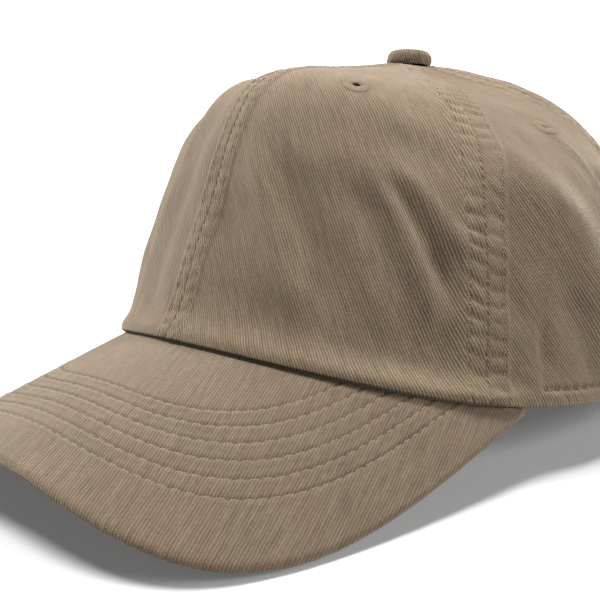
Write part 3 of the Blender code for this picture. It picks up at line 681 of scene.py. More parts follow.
class Nodes:
    """Short calls that add and link shader nodes."""

    def __init__(self, name):
        self.material = bpy.data.materials.new(name)
        self.material.use_nodes = True
        self.tree = self.material.node_tree
        self.shader = self.tree.nodes["Principled BSDF"]

    def add(self, kind, sockets=(), **settings):
        node = self.tree.nodes.new(kind)
        for key, value in settings.items():
            setattr(node, key, value)
        for key, value in dict(sockets).items():
            self.put(value, node.inputs[key])
        return node

    def put(self, value, socket):
        if isinstance(value, Value):
            value = value.socket
        if isinstance(value, bpy.types.NodeSocket):
            self.tree.links.new(value, socket)
        else:
            socket.default_value = value

    def math(self, operation, first, second=0.0):
        node = self.add("ShaderNodeMath", {0: first, 1: second}, operation=operation)
        return Value(self, node.outputs[0])

    def wave(self, phase):
        """From 0 to 1 and back for each whole number of the phase."""
        return 0.5 + -0.5 * self.math("COSINE", phase * FULL_TURN)

    def scale(self, vector, scale=(1.0, 1.0, 1.0), degrees=0.0):
        turn = (0.0, 0.0, -math.radians(degrees))
        sockets = {"Vector": vector, "Rotation": turn, "Scale": scale}
        return self.add("ShaderNodeMapping", sockets).outputs[0]

    def uv(self, degrees=0.0):
        """The UV map in metres, turned so that X runs across the ribs."""
        return self.scale(self.add("ShaderNodeUVMap", uv_map="UVMap").outputs[0], degrees=degrees)

    def split(self, vector):
        node = self.add("ShaderNodeSeparateXYZ", {0: vector})
        return Value(self, node.outputs[0]), Value(self, node.outputs[1])

    def noise(self, vector, scale, detail=2.0, rough=0.5):
        sockets = {"Vector": vector, "Scale": scale, "Detail": detail, "Roughness": rough}
        return Value(self, self.add("ShaderNodeTexNoise", sockets).outputs["Fac"])

    # Per point: real wear on rubbed edges, painted shade in creases, grooves, seams and holes, and
    # painted light on raised parts and the crown's top.
    def wear_and_painted_shading(self):
        node = self.add("ShaderNodeAttribute", attribute_name="wear_and_painted_shading")
        return Value(self, node.outputs["Fac"])

    def mix(self, factor, first, second):
        node = self.add("ShaderNodeMix", data_type="RGBA")
        for value, name in ((factor, "Factor"), (first, "A"), (second, "B")):
            self.put(value, node.inputs[name])
        return node.outputs["Result"]

    def surface(self, base, shade, relief, depth, **inputs):
        """The finished look: a base colour times a shade, with a relief of a depth in metres."""
        tinted = self.add("ShaderNodeVectorMath", {0: base}, operation="SCALE")
        self.put(shade, tinted.inputs["Scale"])
        bump = self.add("ShaderNodeBump", {"Height": relief, "Distance": depth, "Strength": 1.0})
        return self.finish(Base_Color=tinted.outputs[0], Normal=bump.outputs[0], **inputs)

    def finish(self, **inputs):
        for key, value in inputs.items():
            self.put(value, self.shader.inputs[key.replace("_", " ")])
        return self.material


def colour(values, factor=1.0):
    return (*(factor * value for value in values), 1.0)


def twill(name, degrees, pitch, contrast, tone):
    """Washed cotton twill: slanting ribs of yarn floats, uneven dye, paler rubbed edges and painted
    light and shade from each piece's relief.
    """
    n = Nodes(name)
    plane = n.uv(degrees)
    across, along = n.split(plane)
    rib = across * (1.0 / pitch) + n.noise(plane, 260.0) * 0.55
    number = n.math("FLOOR", rib)
    float_phase = along * (1.0 / (0.72 * pitch)) + number * 0.37
    height = n.wave(rib) ** 0.8 * (n.wave(float_phase) * 0.38 + 0.62)
    cell = n.add("ShaderNodeCombineXYZ", {0: number, 1: n.math("FLOOR", float_phase)}).outputs[0]
    yarn = n.add("ShaderNodeTexWhiteNoise", {"Vector": cell}, noise_dimensions="2D").outputs[0]
    slub = n.noise(n.scale(plane, (1.0, 0.12, 1.0)), 900.0, 1.0)
    fibre = n.noise(plane, 3400.0, 3.0, 0.65)
    strength = (n.noise(plane, 620.0) * 1.1 + 0.45) * contrast
    level = (height - 0.42) * strength + 0.36 + (slub - 0.5) * 0.45 + (fibre - 0.5)
    base = n.mix(level, colour(TWILL_DARK, tone), colour(TWILL_LIGHT, tone))
    cast = n.mix(n.noise(plane, 70.0, 3.0, 0.6), (1.06, 0.98, 0.98, 1.0), (0.95, 1.02, 0.98, 1.0))
    base = n.add("ShaderNodeVectorMath", {0: base, 1: cast}, operation="MULTIPLY").outputs[0]
    cloud = n.noise(plane, 28.0, 4.0, 0.6)
    shade = Value(n, yarn) * 0.16 + cloud * 0.16 + n.noise(plane, 9.0) * 0.10 + n.wear_and_painted_shading() * 0.30
    fuzz = n.noise(plane, 2600.0)
    return n.surface(base, shade + 0.62, fuzz * 0.35 + height, 0.00013, Roughness=0.92,
                     Sheen_Weight=0.26, Sheen_Roughness=0.4, Sheen_Tint=(1.0, 0.86, 0.70, 1.0),
                     Specular_IOR_Level=0.15)


def thread(name, tone=1.0):
    """Twisted sewing thread."""
    n = Nodes(name)
    across, along = n.split(n.uv())
    ply = n.math("SINE", across * 9000.0 + along * 4800.0) * 0.5 + 0.5
    base = n.mix(ply, colour(TWILL_LIGHT, 0.34 * tone), colour(TWILL_LIGHT, 0.74 * tone))
    return n.surface(base, 1.0, ply, 0.00006, Roughness=0.75, Sheen_Weight=0.1,
                     Specular_IOR_Level=0.3)


def woven(name, light, dark, pitch, sheen=0.1, herringbone=0.0):
    """Plain or herringbone weave for tapes, sweatband and label."""
    n = Nodes(name)
    plane = n.uv()
    across, along = n.split(plane)
    warp = along
    if herringbone:
        warp = warp + n.math("PINGPONG", across, herringbone)
    over, under = (n.math("ABSOLUTE", n.math("SINE", yarn * (math.pi / pitch)))
                   for yarn in (warp, across))
    height = over * (under * 0.5 + 0.5)
    slub = n.noise(plane, 1400.0)
    base = n.mix(height * 0.7 + slub * 0.3, colour(dark), colour(light))
    shade = n.noise(plane, 45.0, 3.0, 0.6) * 0.30 + n.wear_and_painted_shading() * 0.25 + 0.72
    return n.surface(base, shade, slub * 0.4 + height, 0.00012, Roughness=0.88,
                     Sheen_Weight=sheen, Sheen_Roughness=0.5, Specular_IOR_Level=0.25)


def embroidery(name):
    """Close satin stitches, which run out from the eyelet's hole."""
    n = Nodes(name)
    plane = n.uv()
    across, along = n.split(plane)
    strand = n.math("SINE", across * 52000.0 + along * 900.0) * 0.5 + 0.5
    level = strand * 0.6 + n.noise(plane, 3800.0) * 0.4
    base = n.mix(level, colour(TWILL_LIGHT, 0.50), colour(TWILL_LIGHT, 1.05))
    return n.surface(base, n.wear_and_painted_shading() * 0.5 + 0.62, strand, 0.00003, Roughness=0.85,
                     Specular_IOR_Level=0.15)


def metal(name, light, dark, grain, roughness, patina):
    """Brushed metal with fine scratches along its length and a dull patina in patches."""
    n = Nodes(name)
    place = n.add("ShaderNodeTexCoord").outputs["Object"]
    scratches = n.noise(n.scale(place, (1.0, 1.0, 14.0)), grain, 3.0, 0.6)
    patches = n.noise(place, 420.0, 4.0, 0.65)
    spread = n.add("ShaderNodeMapRange", {"Value": patches, "From Min": 0.42, "From Max": 0.66,
                                          "To Min": 0.0, "To Max": patina}).outputs[0]
    rough = Value(n, spread) * 0.25 + scratches * 0.16 + roughness
    relief = n.noise(place, 2600.0) * 0.5 + scratches
    return n.surface(n.mix(spread, colour(light), colour(dark)), scratches * 0.30 + 0.82, relief,
                     0.00003, Metallic=1.0, Roughness=rough)


def moulded(name, light):
    """Matt moulded plastic with a fine grain."""
    n = Nodes(name)
    plane = n.uv()
    grain = n.noise(plane, 1800.0, 3.0, 0.6)
    cloud = n.noise(plane, 40.0)
    shade = grain * 0.12 + cloud * 0.10 + 0.85
    return n.surface(n.mix(cloud, colour(light, 0.9), colour(light)), shade, grain, 0.00008,
                     Roughness=0.6)


# ---------------------------------------------------------------- crown
def panel_names():
    """Each panel's name and its first and last angle."""
    spans = zip(("front", "side", "rear"), SEAM_ANGLES[:-1], SEAM_ANGLES[1:])
    return [(f"{place}_{side}", *angles) for place, first, last in spans
            for side, angles in (("left", (first, last)), ("right", (-last, -first)))]


def dense_steps(length, fine, coarse, band, both):
    """Places from 0 to length, closely spaced in a band at the end, or at both ends."""
    places = [0.0]
    while places[-1] < length:
        from_end = length - places[-1]
        if both:
            from_end = min(from_end, places[-1])
        places.append(places[-1] + fine + (coarse - fine) * ease(from_end, band, 2.0 * band))
    return np.array(places) / places[-1]


def rear_side(steps):
    """The inner side of a rear panel: down the rear seam, over the opening's arch, down its leg."""
    turns = np.linspace(math.pi / 2.0, 0.0, 300)
    arch_x, arch_z = arch_line(0.0, turns)
    xs = np.concatenate([arch_x, np.full(60, ARCH_HALF_WIDTH)])
    leg = np.linspace(ARCH_SPRING, -REAR_RIM_DROP + 0.0006, 60)
    angle, share = behind_at(xs, np.concatenate([arch_z, leg]))
    seam = np.linspace(share_at_radius(math.pi, APEX_HOLE), share[0], 200)
    angle = np.concatenate([np.full(200, math.pi), angle, [math.pi - ARCH_CORNER]])
    share = np.concatenate([seam, share, [1.0]])
    walked = walk(crown_surface(angle, share))
    walked = walked / walked[-1]
    return np.interp(steps, walked, angle), np.interp(steps, walked, share)


def behind_at(xs, heights):
    """Angle and share of the rear of the crown's outer face at each x >= 0 and height."""
    angle = math.pi - np.abs(xs) / 0.1
    share = np.full(np.shape(xs), 0.8)
    for _ in range(60):
        points = crown_surface(angle, share)
        angle = np.clip(angle + (points[..., 0] - np.abs(xs)) / 0.09, math.radians(110.0), math.pi)
        share = np.clip(share + 0.5 * (points[..., 2] - heights) / 0.1, 0.3, 1.05)
    return angle, share


def panel_grid(name, first, last):
    """Angles and shares of one panel's points."""
    middle = 0.5 * (first + last)
    top = share_at_radius(middle, APEX_HOLE)
    down = dense_steps(MERIDIAN, 0.00014, 0.00057, 0.003, both=False)[:, None]
    columns = dense_steps(PANEL_WIDTH, 0.00042, 0.0011, 0.007, both=True)[None]
    shares = top + (1.0 - top) * np.interp(MERIDIAN * down, WALK_LENGTHS, WALK_SHARES)
    if name.startswith("rear"):
        inner_angle, inner_share = rear_side(down)
        angles = SEAM_ANGLES[2] * (1.0 - columns) + inner_angle * columns
        shares = shares * (1.0 - columns) + inner_share * columns
        return (angles, shares) if first > 0.0 else (-angles[:, ::-1], shares[:, ::-1])
    overlap = SEAM_OVERLAP / np.maximum(radius_at(middle, shares), 0.001)
    angles = (first - overlap) * (1.0 - columns) + (last + overlap) * columns
    return angles, np.broadcast_to(shares, angles.shape)


def make_panel(name, first, last, look):
    """One gore of the crown in finished cloth, with the hole under its eyelet."""
    angles, shares = panel_grid(name, first, last)
    points = crown_cloth(angles, shares)
    flat = crown_surface(angles, shares)
    middle = 0.5 * (first + last)
    above = above_rim(shares)
    # Painted shadow in the crevice between the crown's rolled edge and the bill, with a softer
    # painted shade a few millimetres up.
    painted_crevice_shade = ease(above, 0.0017, 0.0007) + 0.16 * ease(above, 0.0050, 0.0020)
    over_bill = ease(np.abs(angles), BILL_CORNER_ANGLE - 0.03, BILL_CORNER_ANGLE - 0.12)
    # Painted light: the crown is paler towards its top, where the light from above falls strongest.
    painted_top_light = 0.52 * ease(shares, 0.80, 0.46)
    # Painted shading that follows the relief: lighter on raised cloth, darker where it sinks; the
    # crevice's painted shadow and the seams' painted shade are then taken off.
    wear_and_painted_shading = np.clip(0.5 + fine_relief(angles, shares) / 0.0016, 0.0, 1.0) + painted_top_light
    wear_and_painted_shading = wear_and_painted_shading - 3.4 * painted_crevice_shade * over_bill - all_seams(angles, shares)[1]
    # Painted shade in a ragged ring just outside the edge of each eyelet's raised embroidery.
    ragged = 0.5 + 0.5 * noise(angles * 90.0, shares * 60.0, 93)
    wear_and_painted_shading = wear_and_painted_shading - 0.55 * bump(eyelet_distance(flat, middle) - 0.0043, 0.0005) * ragged
    centres = flat.reshape(-1, 3)[grid_faces(*angles.shape)].mean(axis=1)
    uv = (angles - middle) * np.hypot(flat[..., 0], flat[..., 1]), above
    sheet(f"{name}_cloth", points, look, uv, wear_and_painted_shading, CLOTH, "twill", f"{name}_panel",
          keep=eyelet_distance(centres, middle) > EYELET_CUT)


def seam_rows(place, most, foot, top, seed):
    """Two stitched rows beside each seam, at most a share of the radius away from it."""
    rows = []
    for index, seam in enumerate(ALL_SEAMS):
        for side in (-1.0, 1.0):
            def route(above, seam=seam, side=side):
                share = share_above_rim(above)
                radius = radius_at(seam, share)
                aside = np.minimum(seam_row(seam), most * radius) / radius
                return place(seam + side * aside, share)
            starts = np.arange(foot(seam), top, STITCH_PITCH)
            rows.append((route, starts, STITCH_LENGTH, seed + 2 * index + int(side)))
    return rows


def make_crown_stitching(look):
    def place(angle, share):
        return crown_cloth(angle, share), crown_normal(angle, share)

    def foot(seam):
        return ARCH_HEIGHT + 0.010 if seam == SEAM_ANGLES[3] else 0.004
    rows = seam_rows(place, 0.45, foot, MERIDIAN - 0.011, 200)
    stitching("crown_topstitching", rows, look)


def make_hem_stitching(look):
    def route(place):
        share = share_above_rim(HEM_ROW)
        angle = place / RIM_HALF_WIDTH
        return crown_cloth(angle, share), crown_normal(angle, share)
    first = (BILL_CORNER_ANGLE + 0.07) * RIM_HALF_WIDTH
    last = (math.pi - ARCH_CORNER - 0.04) * RIM_HALF_WIDTH
    starts = np.arange(first, last, STITCH_PITCH)
    rows = [(route, starts, STITCH_LENGTH, 301), (route, -starts, STITCH_LENGTH, 302)]
    stitching("hem_topstitching", rows, look)


# ---------------------------------------------------------------- bill
def bill_relief(across, forward):
    """Stitch rows pulled into the padded cloth, which puffs a little between them."""
    inset = bill_inset(across, forward)
    total = 0.00008 * noise(across / 0.011, forward / 0.009, 21)
    for row in range(BILL_ROWS):
        away = inset - (BILL_FIRST_ROW + row * BILL_ROW_STEP)
        total = total - 0.00052 * bump(away - 0.0002, 0.00036)
        total = total + 0.00014 * bump(away + 0.0009, 0.0006)
    puff = ease(inset, BILL_FIRST_ROW - 0.002, BILL_FIRST_ROW)
    puff = puff * ease(inset, BILL_FIRST_ROW + (BILL_ROWS - 0.4) * BILL_ROW_STEP,
                       BILL_FIRST_ROW + (BILL_ROWS - 1) * BILL_ROW_STEP)
    ripple = noise(across / 0.0017 + forward / 0.0026, forward / 0.0035, 22)
    return total + 0.00010 * puff * ripple


def bill_grid():
    """Pattern points and depths of a cover, from the rim out to and round the edge."""
    steps = np.linspace(1.0, -1.0, 321)
    inner = np.stack(rim_on_pattern(BILL_CORNER_ANGLE * steps), -1)
    inner[:, 1] -= BILL_TUCK * (1.0 - np.abs(steps) ** 6)
    turn = np.pi * (0.5 - 0.5 * signed_power(steps, 0.85))
    outer = np.stack(bill_edge(turn, 0.0), -1)
    width = np.linalg.norm(outer - inner, axis=-1)
    radius = np.minimum(BILL_EDGE_RADIUS, 0.45 * width)
    shoulder = np.stack(bill_edge(turn, radius), -1)
    flat_share = np.linspace(0.0, 1.0, 141)[:, None, None]
    flat = inner[None] * (1.0 - flat_share) + shoulder[None] * flat_share
    bend = np.radians(np.linspace(12.0, 90.0, 8))[:, None]
    rounded = np.stack(bill_edge(turn[None], radius[None] * (1.0 - np.sin(bend))), -1)
    drop = np.concatenate([np.zeros(flat.shape[:2]), radius[None] * (1.0 - np.cos(bend))])
    return np.moveaxis(np.concatenate([flat, rounded]), -1, 0), drop


def make_bill_cover(name, node, look, under):
    (across, forward), drop = bill_grid()
    relief = bill_relief(across, forward)
    depth = BILL_UNDER_DEPTH - drop + relief if under else BILL_TOP_INSET + drop - relief
    # Painted shade in the stitch grooves and painted light where the cloth puffs, from the relief,
    # plus paler rubbed cloth round the edge.
    wear_and_painted_shading = np.clip(0.5 + relief / 0.0006, -0.6, 1.0) + 0.25 * ease(drop, 0.0001, 0.0009)
    sheet(name, bill_at(across, forward, depth), look, (-across if under else across, -forward),
          wear_and_painted_shading, COVER_THICKNESS, "twill", node, flip=not under)


def bill_row_turns(inset):
    """The stretch of a bill row that lies ahead of the rim, as turns and lengths."""
    turns = np.linspace(0.02, math.pi - 0.02, 1601)
    across, forward = bill_edge(turns, inset)
    sine = np.clip(BILL_ARCH_RADIUS * np.sin(across / BILL_ARCH_RADIUS) / RIM_HALF_WIDTH, -1.0, 1.0)
    rim_forward = (RIM_FRONT * np.sqrt(1.0 - sine ** 2) - RIM_FRONT) / math.cos(BILL_PITCH)
    ahead = forward > rim_forward + 0.0008
    turns = turns[ahead]
    return turns, walk(bill_at(*bill_edge(turns, inset)))


def make_bill_stitching(name, look, under):
    rows = []
    for row in range(BILL_ROWS):
        inset = BILL_FIRST_ROW + row * BILL_ROW_STEP
        turns, walked = bill_row_turns(inset)

        def route(place, inset=inset, turns=turns, walked=walked):
            across, forward = bill_edge(np.interp(place, walked, turns), inset)
            relief = bill_relief(across, forward)
            normal = bill_normal(across)
            if under:
                return bill_at(across, forward, BILL_UNDER_DEPTH + relief), -normal
            return bill_at(across, forward, BILL_TOP_INSET - relief), normal
        starts = np.arange(0.0006, walked[-1] - STITCH_LENGTH, STITCH_PITCH)
        rows.append((route, starts, STITCH_LENGTH, 400 + row + 20 * under))
    stitching(name, rows, look)


def make_board(look):
    """The plastic board between the bill's covers."""
    (across, forward), drop = bill_grid()
    middle = 0.5 * (BILL_TOP_DEPTH + BILL_UNDER_DEPTH - BOARD_THICKNESS)
    spread = 1.0 - 0.016 * ease(drop, -0.001, 0.001)
    points = bill_at(across * spread, forward * spread, np.full(across.shape, middle))
    sheet("bill_board_moulded", points, look, (across, forward), 0.5, BOARD_THICKNESS, "board",
          "bill_board", flip=True)


# ---------------------------------------------------------------- eyelets and button
EYELET_RIDGES = 46
EYELET_MIDDLE = 0.0026
EYELET_PROFILE = (
    (0.95, -0.40), (1.00, 0.02), (1.25, 0.28), (1.75, 0.46), (2.40, 0.56), (3.00, 0.52),
    (3.50, 0.42), (3.90, 0.22), (4.10, 0.00), (4.00, -0.25), (3.00, -0.12), (1.80, -0.12),
    (1.75, -0.90), (1.90, -1.30), (3.20, -1.30), (3.60, -1.55), (3.30, -1.85), (2.40, -2.00),
    (1.40, -1.90), (1.05, -1.60),
)


def make_eyelet(name, middle, look):
    """An embroidered ring on each face of the cloth, one turned profile that follows the crown."""
    profile = np.array(EYELET_PROFILE + EYELET_PROFILE[:1]) * 0.001
    turn = np.arange(5 * EYELET_RIDGES) * FULL_TURN / (5 * EYELET_RIDGES)
    radius = profile[:, :1] * (1.0 + 0.02 * noise(turn * 7.0, 0.5, 91, 44))[None]
    on_ring = ease(radius, 0.0014, 0.0020)
    ridge = np.abs(np.cos(0.5 * EYELET_RIDGES * turn + 0.6 * noise(turn * 7.0, 3.5, 92, 44)))
    outward = np.sign(profile[:, 1:] + 0.0008)
    height = profile[:, 1:] + 0.00016 * (ridge[None] - 0.5) * on_ring * outward
    step = 0.001
    here = crown_surface(middle, EYELET_SHARE)
    round_it = np.linalg.norm(crown_surface(middle + step, EYELET_SHARE) - here) / step
    down_it = np.linalg.norm(crown_surface(middle, EYELET_SHARE + step) - here) / step
    angle = middle + radius * np.cos(turn) / round_it
    share = EYELET_SHARE + radius * np.sin(turn) / down_it
    lift = soft_relief(angle, share) - 0.00025 + height
    points = crown_surface(angle, share) + lift[..., None] * crown_normal(angle, share)
    uv = turn * EYELET_MIDDLE, walk(profile)[:, None]
    faces = grid_faces(*radius.shape, flip=True, closed=True)
    # Painted light on the satin ridges, painted shade between them and down the wall of the hole.
    wear_and_painted_shading = 0.25 + 0.65 * ridge - 1.7 * ease(radius, 0.0014, 0.0010)
    piece = add_piece(f"{name}_stitched_eyelet", points, faces, look, uv, wear_and_painted_shading)
    hand_over(piece, "cap", "embroidery", f"{name}_eyelet")


def turned_piece(name, corners, rounding, look, slot, steps=6, turns=96, relief=None):
    """Corners (radius, height) in millimetres over the apex, rounded and turned about the axis."""
    profile = rounded_profile(corners, rounding, steps) * 0.001
    turn = np.arange(turns) * FULL_TURN / turns
    radius, height, turn = np.broadcast_arrays(profile[:, :1], profile[:, 1:], turn)
    if relief is not None:
        step_in, step_up = relief(radius, height, turn)
        radius = radius + step_in
        height = height + step_up
    x = radius * np.cos(turn)
    y = radius * np.sin(turn)
    points = np.stack([x, y, CROWN_HEIGHT + height], -1)
    faces = grid_faces(*radius.shape, closed=True)
    piece = add_piece(f"{name}_turned", points, faces, look, (x, y + 0.8 * height))
    hand_over(piece, "cap", slot, name)


def rounded_profile(corners, radius, steps=6):
    """A line of (radius, height) corners with each inner corner rounded."""
    corners = [np.array(corner, float) for corner in corners]
    line = [corners[0]]
    for before, corner, after in zip(corners[:-2], corners[1:-1], corners[2:]):
        sides = np.linalg.norm([before - corner, after - corner], axis=1)
        reach = min(radius, 0.45 * sides.min())
        start = corner + reach * unit(before - corner)
        end = corner + reach * unit(after - corner)
        for share in np.linspace(0.0, 1.0, steps):
            bent = (1 - share) ** 2 * start + 2 * share * (1 - share) * corner
            line.append(bent + share ** 2 * end)
    line.append(corners[-1])
    return np.array(line)


def button_gathers(radius, height, turn):
    """The cover's cloth is drawn in under the button in small uneven pleats."""
    low = ease(height, 0.0026, 0.0004)
    pleats = noise(turn * 44.0 / FULL_TURN, height / 0.003, 95, 44)
    dent = noise(radius / 0.004 + 9.0, turn * 8.0 / FULL_TURN, 96)
    return 0.00030 * low * pleats, 0.00010 * dent * ease(radius, 0.0, 0.003)


BUTTON_COVER = (
    (0.02, 5.05), (3.4, 5.00), (6.2, 4.55), (7.55, 3.1), (7.8, 1.0), (7.3, -0.35), (6.6, -0.25),
    (6.9, 2.0), (6.4, 3.6), (0.02, 4.15),
)
BUTTON_STEEL = {
    "button_shell": (0.5, (
        (0.02, 3.2), (4.3, 3.0), (6.0, 2.2), (6.4, 1.3), (6.1, 1.3), (5.5, 2.1), (4.0, 2.6),
        (0.02, 2.8))),
    "button_back": (0.12, (
        (1.8, 0.7), (1.8, 1.1), (5.9, 1.1), (5.9, 0.4), (1.8, 0.4), (1.8, 0.7))),
    "button_washer": (0.25, (
        (1.8, -4.5), (1.8, -4.2), (5.0, -4.1), (7.6, -4.6), (7.8, -5.0), (7.5, -5.3), (5.0, -4.8),
        (1.8, -4.9), (1.8, -4.5))),
    "button_rivet": (0.35, (
        (0.02, 2.0), (1.5, 1.9), (1.5, -5.2), (3.5, -5.5), (3.7, -6.0), (2.6, -6.5), (0.02, -6.7))),
}


def make_button(cloth, steel):
    turned_piece("button_cover", BUTTON_COVER, 1.3, cloth, "twill", 8, 128, button_gathers)
    for name, (rounding, corners) in BUTTON_STEEL.items():
        turned_piece(name, corners, rounding, steel, "steel")


# ---------------------------------------------------------------- inside the crown
def tape_names():
    names = {0.0: "front_seam_tape", SEAM_ANGLES[3]: "rear_seam_tape"}
    for side, sign in (("left", 1.0), ("right", -1.0)):
        names[sign * SEAM_ANGLES[1]] = f"{side}_front_side_seam_tape"
        names[sign * SEAM_ANGLES[2]] = f"{side}_rear_side_seam_tape"
    return names


def tape_foot(seam):
    if seam == SEAM_ANGLES[3]:
        return ARCH_HEIGHT + BINDING_WIDTH + TAPE_CLEARANCE
    return SWEATBAND_HEIGHT + TAPE_CLEARANCE


def make_tape(seam, name, look):
    """A folded bias tape that covers one seam's raw edges."""
    top = share_at_radius(seam, TAPE_START)
    shares = np.linspace(top, share_above_rim(tape_foot(seam)), 181)[:, None]
    radius = radius_at(seam, shares)
    across = np.linspace(-1.0, 1.0, 33)[None]
    place = across * np.minimum(0.5 * TAPE_WIDTH, 0.42 * radius)
    above = above_rim(shares)
    edge = np.abs(across)
    wave = noise(above / 0.006, 0.5 + np.sign(across), 111)
    depth = TAPE_DEPTH + 0.00018 * ease(edge, 0.66, 0.80) - 0.00030 * ease(edge, 0.94, 1.0)
    depth = depth - 0.00022 * bump(np.abs(place) - seam_row(seam), 0.0005)
    depth = depth + 0.00012 * wave * (1.0 - edge ** 4)
    points = crown_lining(seam + place / radius, shares, depth)
    wear_and_painted_shading = 0.4 + 0.4 * ease(edge, 0.8, 1.0)
    sheet(f"{name}_cloth", points, look, (place, above), wear_and_painted_shading, TAPE_THICKNESS, "lining", name)


def band_depth(angle):
    """Depth of the sweatband's outer face, which leaves a pocket for the strap at the rear."""
    share = ease(np.abs(angle), POCKET_START_ANGLE, POCKET_FULL_ANGLE)
    return SWEATBAND_DEPTH + (POCKET_DEPTH - SWEATBAND_DEPTH) * share


def band_relief(angle, above):
    """Padding between the band's bound top edge and the stitching above its foot."""
    bead = 0.00055 * bump(above - (SWEATBAND_HEIGHT - 0.0016), 0.0011)
    rows = -0.00035 * sum(bump(above - row, 0.0005) for row in BAND_ROWS)
    wave = 0.00025 * noise(angle * 14.0 + 50.0, above / 0.012, 121)
    pucker = 0.00010 * noise(angle * 44.0 + 150.0, above / 0.008, 122)
    return bead + rows + wave + pucker


def band_point(angle, above, extra=0.0):
    """A point of the sweatband's inner face."""
    inward = SWEATBAND_THICKNESS + extra + band_relief(angle, above)
    return crown_lining(angle, share_above_rim(above), band_depth(angle) + inward)


def band_row(height, ends, pitch, length, seed, lift=None):
    """A stitched row along the sweatband, over whatever lies on it."""
    def route(place):
        angle = place / BAND_RADIUS
        extra = 0.0 if lift is None else lift(angle)
        return band_point(angle, height, extra), -crown_normal(angle, share_above_rim(height))
    return route, np.arange(*ends, pitch), length, seed


def make_sweatband(look, trim):
    end = math.pi - ARCH_CORNER - 0.01
    angles = np.linspace(-end, end, 481)[None]
    above = np.linspace(SWEATBAND_HEIGHT, SWEATBAND_FOOT, 97)[:, None]
    # Painted shading from the relief: painted shade in the stitch rows, painted light on the bead
    # and the swells.
    wear_and_painted_shading = np.clip(0.5 + band_relief(angles, above) / 0.0015, 0.0, 1.0)
    sheet("sweatband_cloth", band_point(angles, above), look, (angles * BAND_RADIUS, above), wear_and_painted_shading,
          SWEATBAND_THICKNESS, "sweatband", "sweatband", offset=1.0)
    ends = -end * BAND_RADIUS + 0.002, end * BAND_RADIUS - 0.005
    rows = [band_row(height, ends, STITCH_PITCH, STITCH_LENGTH, 500 + number)
            for number, height in enumerate(BAND_ROWS)]
    stitching("sweatband_stitching", rows, trim, slot="sweatband")


def make_care_label(look, trim):
    """A blank woven label whose lower edge curls away from the band, held by one row of stitches at
    its top.
    """
    def lift(angle, above):
        wave = 0.0002 * noise(angle * 9.0, above / 0.012, 131)
        return GAP + LABEL_THICKNESS + wave
    low, high = LABEL_HEIGHTS
    angles = np.linspace(*LABEL_ANGLES, 91)[None]
    above = np.linspace(high, low, 65)[:, None]
    curl = 0.0006 * (1.0 - (above - low) / (high - low)) ** 2
    points = band_point(angles, above, lift(angles, above) + curl)
    sheet("care_label_woven", points, look, (angles * BAND_RADIUS, above), 0.5, LABEL_THICKNESS,
          "label", "care_label", offset=1.0)
    row = high - 0.0018
    ends = LABEL_ANGLES[0] * BAND_RADIUS + 0.001, LABEL_ANGLES[1] * BAND_RADIUS - 0.003
    rows = [band_row(row, ends, 0.0026, 0.0020, 520, lambda angle: lift(angle, row))]
    stitching("care_label_stitching", rows, trim, slot="label")


def arch_line(inset, turns):
    """Points (x, height) round the rear opening, pushed outwards by an inset."""
    rise = ARCH_HEIGHT - ARCH_LEG + inset
    return (ARCH_HALF_WIDTH + inset) * np.cos(turns), ARCH_SPRING + rise * np.sin(turns)


def arch_point(inset, turns, depth=None):
    """A point of the crown outside the rear opening's edge: of its cloth, or at a depth in it."""
    xs, heights = arch_line(inset, turns)
    angle, share = behind_at(xs, heights)
    angle = np.where(xs < 0.0, -angle, angle)
    place = crown_cloth(angle, share) if depth is None else crown_lining(angle, share, depth)
    return place, crown_normal(angle, share)


def make_binding(look, trim):
    """The tape that backs the edge of the rear opening, and its two rows of stitching."""
    turns = np.linspace(BINDING_START, math.pi - BINDING_START, 181)[None]
    inset = np.linspace(BINDING_EDGE, BINDING_WIDTH, 25)[:, None]
    edge = np.minimum(inset - BINDING_EDGE, BINDING_WIDTH - inset)
    depth = BINDING_DEPTH - 0.00012 * ease(edge, 0.0006, 0.0)
    depth = depth + 0.00012 * noise(turns * 9.0, inset / 0.006, 141)
    sheet("rear_opening_binding_cloth", arch_point(inset, turns, depth)[0], look,
          (turns * OPENING_RADIUS, inset), 0.5, BINDING_THICKNESS, "lining",
          "rear_opening_binding", flip=True)
    outer = np.arange(0.10 * OPENING_RADIUS, (math.pi - 0.12) * OPENING_RADIUS, STITCH_PITCH)
    inner_ends = BINDING_START, math.pi - BINDING_START - 0.06
    inner = np.arange(*(end * OPENING_RADIUS for end in inner_ends), STITCH_PITCH)
    rows = []
    for number, row in enumerate(OPENING_ROWS):
        def outside(place, row=row):
            return arch_point(row, place / OPENING_RADIUS)

        def inside(place, row=row):
            depth = BINDING_DEPTH + BINDING_THICKNESS
            point, normal = arch_point(row, place / OPENING_RADIUS, depth)
            return point, -normal
        rows.append((outside, outer, STITCH_LENGTH, 540 + number))
        rows.append((inside, inner, STITCH_LENGTH, 550 + number))
    stitching("rear_opening_topstitching", rows, trim)


def make_tape_stitching(look):
    def place(angle, share):
        point = crown_lining(angle, share, TAPE_DEPTH + TAPE_THICKNESS - 0.0002)
        return point, -crown_normal(angle, share)
    rows = seam_rows(place, 0.30, lambda seam: tape_foot(seam) + 0.001, MERIDIAN - 0.016, 560)
    stitching("tape_stitching", rows, look)


# ---------------------------------------------------------------- rear closure
def strap_relief(along, up):
    """The strap's stitch rows are pulled in, and its face swells a little between them."""
    from_edge = np.minimum(up, STRAP_WIDTH - up)
    row = -0.00022 * bump(from_edge - STRAP_ROW, 0.0005)
    wave = 0.00008 * noise(along / 0.004 + 40.0, up / 0.005, 151)
    return row + wave * ease(from_edge, 0.0, 0.003)


